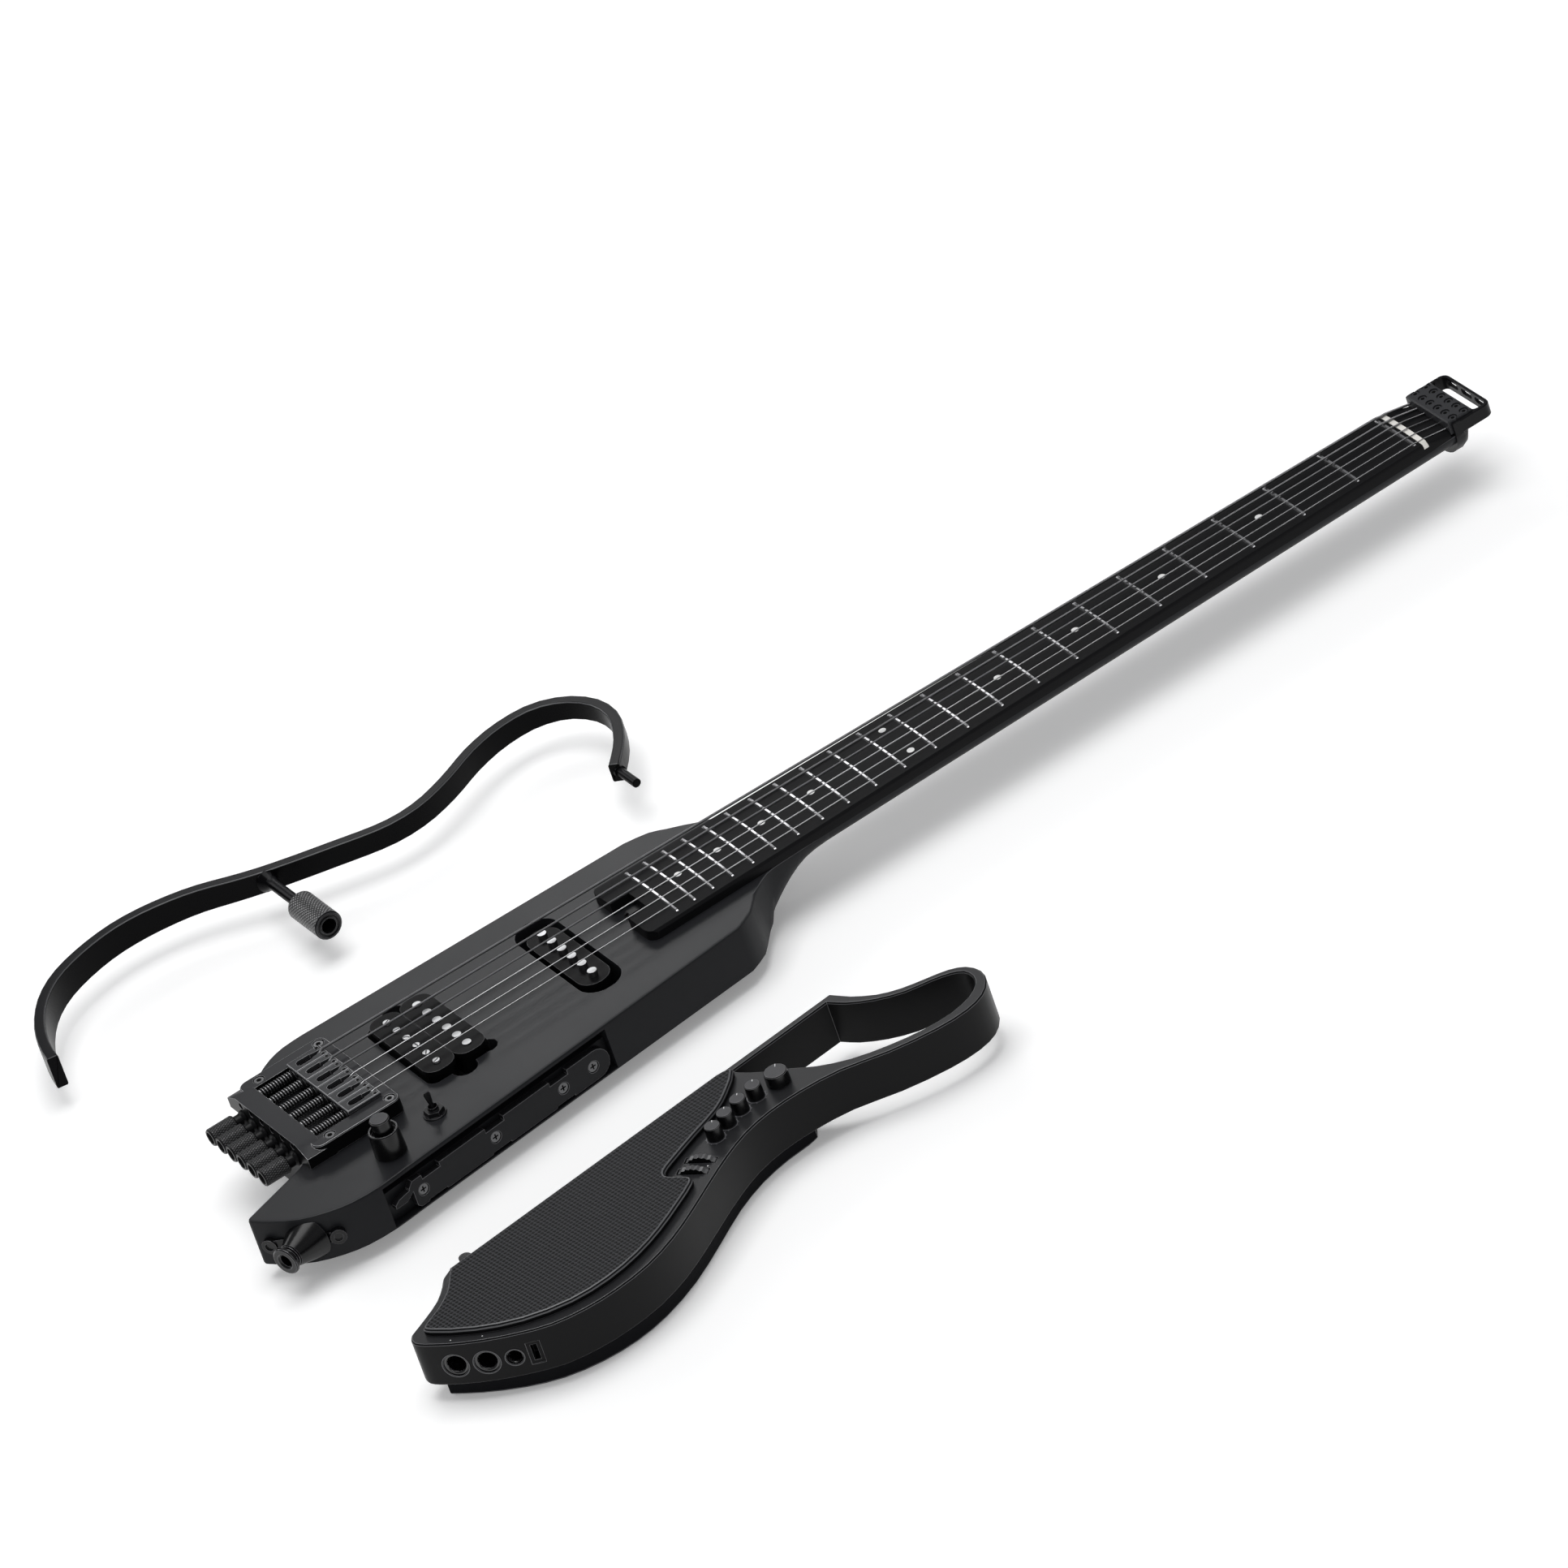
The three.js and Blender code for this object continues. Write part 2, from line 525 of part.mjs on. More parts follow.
/** Point on the slanted treble side: s along it, t out of it. */
function dockPoint(s, t) {
  const along = new THREE.Vector2(Math.cos(DOCK_ANGLE), Math.sin(DOCK_ANGLE));
  return [DOCK.x + along.x * s + along.y * t, DOCK.y + along.y * s - along.x * t];
}

/** Plate in the plane of the slanted side; shape is drawn in s and z, depth runs from inner to outer t. */
function dockPlate(shape, innerT, outerT) {
  const geometry = new THREE.ExtrudeGeometry(shape, { depth: outerT - innerT, bevelEnabled: false,
    curveSegments: CURVE_STEPS });
  geometry.rotateX(QUARTER_TURN);
  geometry.translate(0, -innerT, 0);
  geometry.rotateZ(DOCK_ANGLE);
  geometry.translate(DOCK.x, DOCK.y, 0);
  return toSolid(geometry);
}

/** Round tool along the normal of the slanted side. */
function dockBore(s, z, radius, innerT, outerT, sides) {
  const geometry = new THREE.CylinderGeometry(radius, radius, outerT - innerT, sides);
  geometry.translate(s, -(innerT + outerT) / 2, z);
  geometry.rotateZ(DOCK_ANGLE);
  geometry.translate(DOCK.x, DOCK.y, 0);
  return toSolid(geometry);
}

/** Cylinder or cone along a level direction through a point, from one distance to another. */
function levelCone(x, y, z, angle, from, to, fromRadius, toRadius, sides) {
  const geometry = new THREE.CylinderGeometry(toRadius, fromRadius, to - from, sides);
  geometry.rotateZ(-QUARTER_TURN);
  geometry.translate((from + to) / 2, 0, 0);
  geometry.rotateZ(angle);
  geometry.translate(x, y, z);
  return toSolid(geometry);
}

/** Cross-shaped driver recess as two bars turned about the normal of the slanted side. */
function crossRecess(s, z, size, width, innerT, outerT) {
  const bar = polygon([[s - size, z - width], [s + size, z - width], [s + size, z + width], [s - size,
    z + width]]);
  const post = polygon([[s - width, z - size], [s + width, z - size], [s + width, z + size], [s - width,
    z + size]]);
  return dockPlate(bar, innerT, outerT).add(dockPlate(post, innerT, outerT));
}

/** Plain slab of the body before the neck and the pockets. */
function bodySlab(edge) {
  const outline = [
    ...smooth(BODY_OUTLINE.trebleHorn),
    ...smooth(BODY_OUTLINE.trebleTail),
    ...BODY_OUTLINE.tailNose,
    ...smooth(BODY_OUTLINE.tailNotch),
    ...smooth(BODY_OUTLINE.bassTail),
    ...smooth(BODY_OUTLINE.bassHorn),
  ];
  return plate(polygon(outline), BODY_BACK, BODY_TOP, edge, BODY_EDGE_STEPS);
}

/** Ring of the neck or heel: flat on top, round below. */
function underRing(x, treble, bass, depth, roundShare) {
  const ring = [];
  for (let i = 0; i <= NECK_SECTION_POINTS; i += 1) {
    const turn = (Math.PI * i) / NECK_SECTION_POINTS;
    const side = Math.abs(Math.cos(turn)) ** roundShare;
    const y = Math.cos(turn) > 0 ? bass * side : -treble * side;
    ring.push(new THREE.Vector3(x, y, BODY_TOP - depth * Math.sin(turn) ** roundShare));
  }
  return ring;
}

/** Slab, heel and neck joined, before the pockets. */
function bodyBlank() {
  const neck = skin(NECK_DEPTHS.map(([x, depth]) => {
    const half = boardHalf(x) - NECK_SIDE_STEP;
    return underRing(x, half, half, depth, 1);
  }));
  const heel = skin(HEEL_SECTIONS.map((section) => (
    underRing(section.x, section.treble, section.bass, section.depth, section.roundShare))));
  return joined([bodySlab(BODY_EDGE_ROUND), heel, neck]);
}

/** Long pocket with round ends across the body. */
function acrossPocket(x, halfWidth, halfLength, lowZ, highZ, corner) {
  const shape = roundedRectangle(x - halfWidth, x + halfWidth, -halfLength, halfLength, corner);
  return plate(shape, lowZ, highZ);
}

/** Body, neck and heel in one piece with all their pockets. */
function makeBody() {
  const open = BODY_TOP + OVERCUT;
  const coil = NECK_COIL;
  const twin = BRIDGE_COIL;
  const tubGap = BORE_GAP;
  const channel = polygon([
    [CHANNEL.tail, CHANNEL.bottom], [CHANNEL.head, CHANNEL.bottom], [CHANNEL.head, CHANNEL.top],
    [CHANNEL.tail, CHANNEL.top],
  ]);
  const deep = polygon([
    [CHANNEL.tail, CHANNEL.deepBottom], [CHANNEL.head, CHANNEL.deepBottom], [CHANNEL.head, CHANNEL.top],
    [CHANNEL.tail, CHANNEL.top],
  ]);
  return cut(bodyBlank(), [
    acrossPocket(coil.x, coil.pocketHalfWidth, coil.pocketHalfLength, coil.pocketFloor, open,
      coil.pocketHalfWidth - BORE_GAP),
    acrossPocket(twin.x, twin.pocketHalfWidth, twin.pocketHalfLength, twin.pocketFloor, open,
      twin.pocketCorner),
    upright(twin.earX, twin.earReach, twin.pocketFloor, open, twin.earRadius, twin.earRadius, SIDES.middle),
    upright(twin.earX, -twin.earReach, twin.pocketFloor, open, twin.earRadius, twin.earRadius,
      SIDES.middle),
    upright(twin.wireX, twin.wireY, twin.pocketFloor, open, twin.wireRadius, twin.wireRadius, SIDES.small),
    block(BRIDGE.rear - OVERCUT, BRIDGE.tubFront + tubGap, -BRIDGE.tubHalf - tubGap,
      BRIDGE.tubHalf + tubGap,
      BRIDGE.tubBottom - tubGap, open),
    dockPlate(channel, -CHANNEL.depth, OVERCUT),
    dockPlate(deep, -CHANNEL.deepDepth, OVERCUT),
    upright(STACK.x, STACK.y, BODY_TOP - STACK.shaftDepth - 2 * BORE_GAP, open,
      STACK.sleeveRadius + BORE_GAP,
      STACK.sleeveRadius + BORE_GAP, SIDES.middle),
    upright(SWITCH.x, SWITCH.y, BODY_TOP - SWITCH.stemDepth - BORE_GAP, open, SWITCH.collarRadius,
      SWITCH.collarRadius,
      SIDES.middle),
    alongY(FRAME.pinX, PIN_HOLE.depthY, BODY_OUTLINE.bassHorn[0][1], FRAME.z, PIN_HOLE.radius, SIDES.small),
    levelCone(JACK.x, JACK.y, JACK.z, JACK.angle, -JACK.coneLength - JACK.mouth, OVERCUT, JACK.mouth + 1.4,
      JACK.mouth + 1.4,
      SIDES.middle),
  ]);
}

/** Ring of the fingerboard at a place along x. */
function boardRing(x) {
  const half = boardHalf(x);
  const ring = [new THREE.Vector3(x, -half, BODY_TOP), new THREE.Vector3(x, -half, crown(half) - 1.4)];
  const stations = [-0.965, -0.64, -0.32, 0, 0.32, 0.64, 0.965];
  for (const share of stations) {
    ring.push(new THREE.Vector3(x, half * share, crown(half * share)));
  }
  ring.push(new THREE.Vector3(x, half, crown(half) - 1.4), new THREE.Vector3(x, half, BODY_TOP));
  return ring;
}

/** Ring of the fingerboard at its head end, lowered and bevelled under the strings. */
function boardHeadRing() {
  const half = boardHalf(BOARD_HEAD.x) - BOARD_HEAD.narrow;
  const inner = half - BOARD_HEAD.edgeStep;
  const ring = [
    new THREE.Vector3(BOARD_HEAD.x, -half, BODY_TOP), new THREE.Vector3(BOARD_HEAD.x, -half,
      BOARD_HEAD.edgeTop),
  ];
  const stations = [-1, -0.64, -0.32, 0, 0.32, 0.64, 1];
  for (const share of stations) {
    ring.push(new THREE.Vector3(BOARD_HEAD.x, inner * share, BOARD_HEAD.top));
  }
  ring.push(new THREE.Vector3(BOARD_HEAD.x, half, BOARD_HEAD.edgeTop), new THREE.Vector3(BOARD_HEAD.x,
    half, BODY_TOP));
  return ring;
}

/** One fret wire lying on the crown with rounded ends. */
function fretWire(x, half) {
  const base = 1.2;
  const top = 0.55;
  const sunk = 0.6;
  const endRound = 1.1;
  const stations = [-half, -half + endRound, -half / 2, 0, half / 2, half - endRound, half];
  const rings = stations.map((y) => {
    const lift = Math.abs(y) === half ? FRET_HEIGHT / 4 : FRET_HEIGHT;
    const z = crown(y);
    return [
      new THREE.Vector3(x - base, y, z - sunk), new THREE.Vector3(x - top, y, z + lift),
      new THREE.Vector3(x + top, y, z + lift), new THREE.Vector3(x + base, y, z - sunk),
    ];
  });
  return skin(rings);
}

/** Fingerboard with its frets, the notch for the truss rod and the seat of the string guide. */
function makeFingerboard() {
  const bare = skin([boardRing(NUT.headSide), boardRing(TRUSS.boardEnd)]);
  const head = skin([boardRing(NUT.headSide), boardHeadRing()]);
  const wide = boardHalf(TRUSS.boardEnd);
  const frame = plate(
    roundedRectangle(TRUSS.boardEnd, BOARD_HEAD.x + OVERCUT, -wide, wide, TRUSS.boardCorner),
    BODY_TOP - OVERCUT, OVERCUT);
  const frets = [];
  for (let fret = 0; fret <= FRET_COUNT; fret += 1) {
    const distance = fretDistance(fret);
    const share = distance / fretDistance(FRET_COUNT);
    frets.push(fretWire(-distance, FRET_HALF_AT_NUT + (FRET_HALF_AT_LAST - FRET_HALF_AT_NUT) * share));
  }
  const seat = block(NUT.tailSide, NUT.headSide, -wide, wide, NUT.bottom, OVERCUT);
  const notch = block(TRUSS.boardEnd - OVERCUT, TRUSS.notchFront, -TRUSS.notchHalf, TRUSS.notchHalf,
    BODY_TOP - OVERCUT, OVERCUT);
  return cut(joined([bare, head]).intersect(frame), [seat, notch]).add(joined(frets));
}

/** White string guide that wraps down over the edges of the board. */
function makeStringGuide() {
  const half = boardHalf(NUT.headSide);
  const arc = [-NUT.shoulderY, -NUT.shoulderY / 2, 0, NUT.shoulderY / 2, NUT.shoulderY];
  const profile = [
    [-half, NUT.bottom], [-half, -NUT.shoulderDrop], ...arc.map((y) => [y, crown(y) + NUT.crownLift]),
    [half, -NUT.shoulderDrop], [half, NUT.bottom],
  ];
  const geometry = new THREE.ExtrudeGeometry(polygon(profile), { depth: NUT.headSide - NUT.tailSide,
    bevelEnabled: false });
  geometry.rotateX(QUARTER_TURN);
  geometry.rotateZ(QUARTER_TURN);
  geometry.translate(NUT.tailSide, 0, 0);
  return toSolid(geometry);
}

/** Adjusting nut of the truss rod at the body end of the board. */
function makeTrussNut() {
  const side = [
    [TRUSS.nutRear, BODY_TOP], [TRUSS.notchFront, BODY_TOP], [TRUSS.notchFront, TRUSS.nutTop],
    [TRUSS.nutRear + TRUSS.chamfer, TRUSS.nutTop], [TRUSS.nutRear, TRUSS.nutTop - TRUSS.chamfer],
  ];
  const geometry = new THREE.ExtrudeGeometry(polygon(side), { depth: 2 * TRUSS.nutHalf,
    bevelEnabled: false });
  geometry.rotateX(QUARTER_TURN);
  geometry.translate(0, TRUSS.nutHalf, 0);
  const hole = alongX(TRUSS.nutRear - OVERCUT, TRUSS.nutRear + TRUSS.hexDepth, 0,
    (BODY_TOP + TRUSS.nutTop) / 2, TRUSS.hexRadius, 6);
  return toSolid(geometry).subtract(hole);
}

/** Loop of the head with the collar under the neck end and slots in its end wall. */
function makeHeadFrame() {
  const outer = plate(
    roundedRectangle(HEAD.rear, HEAD.front, -HEAD.halfWidth, HEAD.halfWidth, HEAD.corner), HEAD.bottom,
    HEAD.top, SOFT_EDGE);
  const squareEnd = block(HEAD.rear, HEAD.rear + HEAD.corner, -HEAD.halfWidth, HEAD.halfWidth, HEAD.bottom,
    HEAD.top);
  const window = plate(
    roundedRectangle(HEAD.windowRear, HEAD.windowFront, -HEAD.windowHalf, HEAD.windowHalf,
      HEAD.windowCorner),
    HEAD.bottom - OVERCUT, HEAD.top + OVERCUT);
  const seat = block(
    HEAD.rear - OVERCUT, HEAD.seatFront, -CLAMP.halfWidth - SLIDE_GAP, CLAMP.halfWidth + SLIDE_GAP,
    HEAD.seatFloor, OVERCUT);
  const slots = [-1, 0, 1].map((step) => {
    const y = step * HEAD.slotPitch;
    const shape = roundedRectangle(
      y - HEAD.slotHalf, y + HEAD.slotHalf, HEAD.slotZ - HEAD.slotRadius, HEAD.slotZ + HEAD.slotRadius,
      HEAD.slotRadius - WELD_DISTANCE);
    const geometry = new THREE.ExtrudeGeometry(shape, { depth: 2 * OVERCUT, bevelEnabled: false,
      curveSegments: CURVE_STEPS });
    geometry.rotateX(QUARTER_TURN);
    geometry.rotateZ(QUARTER_TURN);
    geometry.translate(HEAD.windowFront - OVERCUT, 0, 0);
    return toSolid(geometry);
  });
  const collar = skin(COLLAR.map((ring) => (
    underRing(ring.x, ring.half, ring.half, ring.depth,
      1).map((point) => point.setZ(point.z - BODY_TOP + HEAD.seatFloor)))));
  return cut(joined([outer, squareEnd, collar]), [window, seat, ...slots]);
}

/** Block that clamps the strings, with two rows of sunk screws. */
function makeClampBlock() {
  const shape = polygon([
    [CLAMP.rear, -CLAMP.halfWidth], [CLAMP.front, -CLAMP.halfWidth], [CLAMP.front, CLAMP.halfWidth],
    [CLAMP.rear, CLAMP.halfWidth],
  ]);
  const holes = [];
  for (const x of [CLAMP.rowRear, CLAMP.rowFront]) {
    for (let i = 0; i < STRING_COUNT; i += 1) {
      const y = (i - (STRING_COUNT - 1) / 2) * CLAMP.pitch;
      holes.push(upright(x, y, CLAMP.top - CLAMP.screwSink, CLAMP.top + OVERCUT, CLAMP.screwRadius,
        CLAMP.screwRadius, SIDES.small));
    }
  }
  return cut(plate(shape, CLAMP.bottom, CLAMP.top, CLAMP.edge), holes);
}

/** Single coil pickup: bobbin and tall poles. */
function makeNeckPickup() {
  const coil = NECK_COIL;
  const bobbin = acrossPocket(
    coil.x, coil.bobbinHalfWidth, coil.bobbinHalfLength, coil.bobbinBottom, coil.bobbinTop,
    coil.bobbinHalfWidth - BORE_GAP);
  const poles = [];
  for (let i = 0; i < STRING_COUNT; i += 1) {
    const y = (i - (STRING_COUNT - 1) / 2) * coil.polePitch;
    poles.push(upright(coil.x, y, coil.bobbinTop - 1, coil.poleTop, coil.poleRadius, coil.poleRadius,
      SIDES.middle));
  }
  const foot = acrossPocket(coil.x, coil.bobbinHalfWidth, coil.bobbinHalfWidth, coil.pocketFloor,
    coil.bobbinBottom + 1, 1);
  return joined([bobbin, foot, ...poles]);
}

/** One coil of the double pickup with its row of poles. */
function makeBridgeCoil(side, domed) {
  const twin = BRIDGE_COIL;
  const x = twin.x + side * twin.coilOffset;
  const top = acrossPocket(x, twin.coilHalfWidth, twin.coilHalfLength, twin.coilTop - twin.coilSkirt,
    twin.coilTop, twin.coilCorner);
  const winding = acrossPocket(
    x, twin.coilHalfWidth - twin.windingInset, twin.coilHalfLength - twin.windingInset, twin.windingBottom,
    twin.coilTop - twin.coilSkirt + BORE_GAP, twin.coilCorner - twin.windingInset);
  const poles = [];
  for (let i = 0; i < STRING_COUNT; i += 1) {
    const y = (i - (STRING_COUNT - 1) / 2) * twin.polePitch;
    const proud = domed ? twin.screwDome : twin.poleProud;
    const rim = domed ? twin.poleRadius - twin.poleProud : twin.poleRadius;
    poles.push(upright(x, y, twin.coilTop - 1, twin.coilTop + proud, twin.poleRadius, rim, SIDES.middle));
  }
  return joined([top, winding, ...poles]);
}

/** Base plate of the double pickup with its two ears. */
function makeBridgePickupPlate() {
  const twin = BRIDGE_COIL;
  const low = twin.windingBottom - twin.plateThickness;
  const sheet = acrossPocket(twin.x, twin.plateHalfWidth, twin.plateHalfLength, low, twin.windingBottom,
    twin.pocketCorner);
  const ears = acrossPocket(twin.x, twin.plateEarHalfWidth, twin.plateEarReach, low, twin.windingBottom, 1);
  const legs = acrossPocket(twin.x, twin.plateEarHalfWidth, twin.plateEarHalfWidth, twin.pocketFloor,
    low + 1, 1);
  return joined([sheet, ears, legs]);
}

/** Bridge deck, rear wall and tub with the lanes of the strings. */
function makeBridgeBase() {
  const b = BRIDGE;
  const deck = plate(roundedRectangle(b.wallFront - b.corner, b.front, -b.halfWidth, b.halfWidth,
    b.corner), BODY_TOP, b.deckTop, SOFT_EDGE);
  const deckRear = block(b.wallFront - b.corner, b.wallFront + b.corner, -b.halfWidth, b.halfWidth,
    BODY_TOP, b.wallLow);
  const wallShape = polygon([
    [-b.halfWidth, BODY_TOP], [b.halfWidth, BODY_TOP], [b.halfWidth, b.wallLow], [b.wallTopHalf, b.wallTop],
    [-b.wallTopHalf, b.wallTop], [-b.halfWidth, b.wallLow],
  ]);
  const wallGeometry = new THREE.ExtrudeGeometry(wallShape, { depth: b.wallFront - b.rear,
    bevelEnabled: false });
  wallGeometry.rotateX(QUARTER_TURN);
  wallGeometry.rotateZ(QUARTER_TURN);
  wallGeometry.translate(b.rear, 0, 0);
  const tub = block(b.rear, b.tubFront, -b.tubHalf, b.tubHalf, b.tubBottom, BODY_TOP + 1);
  const well = block(b.wallFront, b.slotFront + 2, -b.wellHalf, b.wellHalf, b.wellFloor, b.deckBottom);
  const window = block(b.wallFront, b.windowFront, -b.wellHalf, b.wellHalf, b.deckBottom - 1, OVERCUT);
  const cuts = [well, window];
  for (let i = 0; i < STRING_COUNT; i += 1) {
    const y = bridgeY(i);
    cuts.push(block(b.windowFront - 1, b.slotFront, y - b.slotWidth / 2, y + b.slotWidth / 2,
      b.deckBottom - 1, OVERCUT));
    cuts.push(alongX(b.rear - 1, b.wallFront + 1, y, SADDLE.rodZ, b.rodHoleRadius, SIDES.small));
    cuts.push(alongX(b.rear - 1, b.wallFront + 1, y, PULLER.axisZ, b.pullHoleRadius, SIDES.small));
  }
  for (const sx of [-1, 1]) {
    for (const sy of [-1, 1]) {
      cuts.push(upright(b.screwMiddle + (sx * b.screwX) / 2, sy * b.screwY, b.deckTop - b.screwSink,
        OVERCUT, b.screwRadius, b.screwRadius, SIDES.middle));
    }
  }
  return cut(joined([deck, deckRear, toSolid(wallGeometry), tub]), cuts);
}

/** One saddle plate with its keyhole slot, grub screw seats and intonation rod. */
function makeSaddle(index) {
  const s = SADDLE;
  const y = bridgeY(index);
  const low = BRIDGE.deckTop + SLIDE_GAP;
  const top = low + s.thickness;
  const half = s.width / 2;
  const sheet = plate(polygon([[s.rear, y - half], [s.front, y - half], [s.front, y + half], [s.rear,
    y + half]]), low, top, FINE_EDGE);
  const lug = block(s.rear, s.rear + s.lugLength, y - s.lugHalfWidth, y + s.lugHalfWidth, s.lugBottom,
    low + 1);
  const rod = alongX(s.rodEnd, s.rear + 1, y, s.rodZ, s.rodRadius, SIDES.small);
  const slotShape = polygon([
    [s.slotTipX, y - s.slotTipWidth / 2], [s.slotTipX, y + s.slotTipWidth / 2], [s.slotNeckX,
      y + s.slotNeckWidth / 2],
    [s.slotNeckX, y + s.slotWidth / 2], [s.slotEndX + 1.6, y + s.slotWidth / 2], [s.slotEndX,
      y + s.slotWidth / 4],
    [s.slotEndX, y - s.slotWidth / 4], [s.slotEndX + 1.6, y - s.slotWidth / 2], [s.slotNeckX,
      y - s.slotWidth / 2],
    [s.slotNeckX, y - s.slotNeckWidth / 2],
  ]);
  const slot = plate(slotShape, low - OVERCUT / 2, OVERCUT + top);
  const groove = block(s.slotTipX - 1, s.front + 1, y - s.grooveWidth / 2, y + s.grooveWidth / 2,
    top - s.grooveDepth, top + OVERCUT);
  const grubs = [-1, 1].map((side) => upright(s.grubX, y + side * s.grubY, top - s.grubSink, top + OVERCUT,
    s.grubRadius, s.grubRadius, SIDES.tiny));
  return cut(joined([sheet, lug, rod]), [slot, groove, ...grubs]);
}

/** Pull block that holds the ball end of a string, with its draw rod. */
function makePuller(index) {
  const p = PULLER;
  const y = bridgeY(index);
  const body = block(p.rear, p.front, y - p.halfWidth, y + p.halfWidth, p.bottom, p.top);
  const rod = alongX(p.rodEnd, p.rear + 1, y, p.axisZ, p.rodRadius, SIDES.small);
  const seat = upright(p.seatX, y, p.top - p.seatSink, p.top + OVERCUT, p.seatRadius, p.seatRadius,
    SIDES.small);
  return cut(joined([body, rod]), [seat]);
}

/** Knurled tuner barrel, open at its end, with a flared neck against the rear wall. */
function makeTuner(index) {
  const t = TUNER;
  const profile = [
    [0, t.mouthDepth + t.end], [t.mouthRadius, t.mouthDepth + t.end], [t.mouthRadius, t.end], [t.rimRadius,
      t.end],
    [t.knurlRadius, t.end + t.rimLength], [t.knurlRadius, t.knurlFront - t.rimLength], [t.rimRadius,
      t.knurlFront],
    [t.neckRadius, t.knurlFront], [t.neckRadius, t.flareX], [t.flangeRadius, t.flangeX], [t.flangeRadius,
      t.wallEnd],
    [0, t.wallEnd],
  ];
  const barrel = turnedX(profile, SIDES.large, bridgeY(index), PULLER.axisZ);
  const bore = alongX(t.end, t.wallEnd + 1, bridgeY(index), PULLER.axisZ, t.boreRadius, SIDES.small);
  return barrel.subtract(bore);
}

/** Ring of points round a string at a place of its path. */
function stringRing(point, normalX, normalZ, radius) {
  const ring = [];
  for (let i = 0; i < SIDES.tiny; i += 1) {
    const turn = (FULL_TURN * i) / SIDES.tiny;
    const up = Math.cos(turn) * radius;
    ring.push(new THREE.Vector3(point.x + normalX * up, point.y + Math.sin(turn) * radius,
      point.z + normalZ * up));
  }
  return ring;
}

/** One string from the clamp block over the guide and the zero fret down into its saddle. */
function makeString(index) {
  const radius = STRING_RADII[index];
  const s = STRING_PATH;
  const nutY = stringY(index, 0);
  const bridge = bridgeY(index);
  const nutZ = crown(nutY) + NUT.crownLift + radius + s.fretLift;
  const fretZ = crown(nutY) + FRET_HEIGHT + radius + s.fretLift;
  const path = [
    new THREE.Vector3(s.blockX, (nutY * CLAMP.pitch) / NUT_STRING_PITCH, s.blockZ),
    new THREE.Vector3(NUT.headSide, nutY, nutZ),
    new THREE.Vector3(NUT.tailSide, nutY, nutZ + s.fretLift),
    new THREE.Vector3(0, nutY, fretZ),
    new THREE.Vector3(s.saddleX, bridge, s.saddleZ + radius - STRING_RADII[STRING_COUNT - 1]),
    new THREE.Vector3(s.dropX, bridge, s.dropZ),
    new THREE.Vector3(s.endX, bridge, s.endZ),
  ];
  const rings = path.map((point, i) => {
    const before = path[Math.max(i - 1, 0)];
    const after = path[Math.min(i + 1, path.length - 1)];
    if (i === 0) {
      return stringRing(point, 0, 1, radius);
    }
    const tangent = after.clone().sub(before).normalize();
    return stringRing(point, -tangent.z * Math.sign(-tangent.x), Math.abs(tangent.x), radius);
  });
  return skin(rings);
}

/** Dock rail with its notches, rounded head end and hook at the tail end. */
function makeRail() {
  const r = RAIL;
  const middle = (r.top + r.bottom) / 2;
  const radius = (r.top - r.bottom) / 2;
  const points = [];
  for (let i = 0; i <= SIDES.small; i += 1) {
    const turn = -QUARTER_TURN + (Math.PI * i) / SIDES.small;
    points.push([r.head - radius + Math.cos(turn) * radius, middle + Math.sin(turn) * radius]);
  }
  for (const [low, high] of [...r.notches].reverse()) {
    points.push([high, r.top], [high, r.top - r.notchDepth], [low, r.top - r.notchDepth], [low, r.top]);
  }
  points.push(
    [r.tail + 3, r.top], [r.tail, r.top - 3], [r.tail, r.hookNeck + 2], [r.hookRear + 3, r.hookNeck + 1],
    [r.hookRear, r.hookNeck - 1],
    [r.hookRear, r.hookNeck - 3], [r.tail - r.hookMouth / 2, r.hookNeck - 3], [r.tail + r.hookMouth / 3,
      r.hookNeck],
    [r.tail + r.hookMouth / 3, r.bottom + 2], [r.tail + r.hookMouth / 3 + 2, r.bottom],
  );
  for (const [low, high] of r.notches) {
    points.push([low, r.bottom], [low, r.bottom + r.lowerNotchDepth], [high, r.bottom + r.lowerNotchDepth],
      [high, r.bottom]);
  }
  const body = dockPlate(polygon(points), -r.sink - r.thickness, -r.sink);
  const sinks = r.screwS.map((s) => dockBore(s, r.screwZ, r.sinkRadius, -r.sink - r.sinkDepth, OVERCUT,
    SIDES.middle));
  return cut(body, sinks);
}

/** Cross-head screw sunk in the rail. */
function makeRailScrew(index) {
  const r = RAIL;
  const s = r.screwS[index];
  const bottom = -r.sink - r.sinkDepth;
  const head = dockBore(s, r.screwZ, r.screwRadius, bottom, -r.sink - r.screwSink, SIDES.middle);
  const cross = crossRecess(s, r.screwZ, r.screwRadius - r.crossRim, r.crossWidth / 2,
    -r.sink - r.crossDepth, OVERCUT);
  return cut(head, [cross]);
}

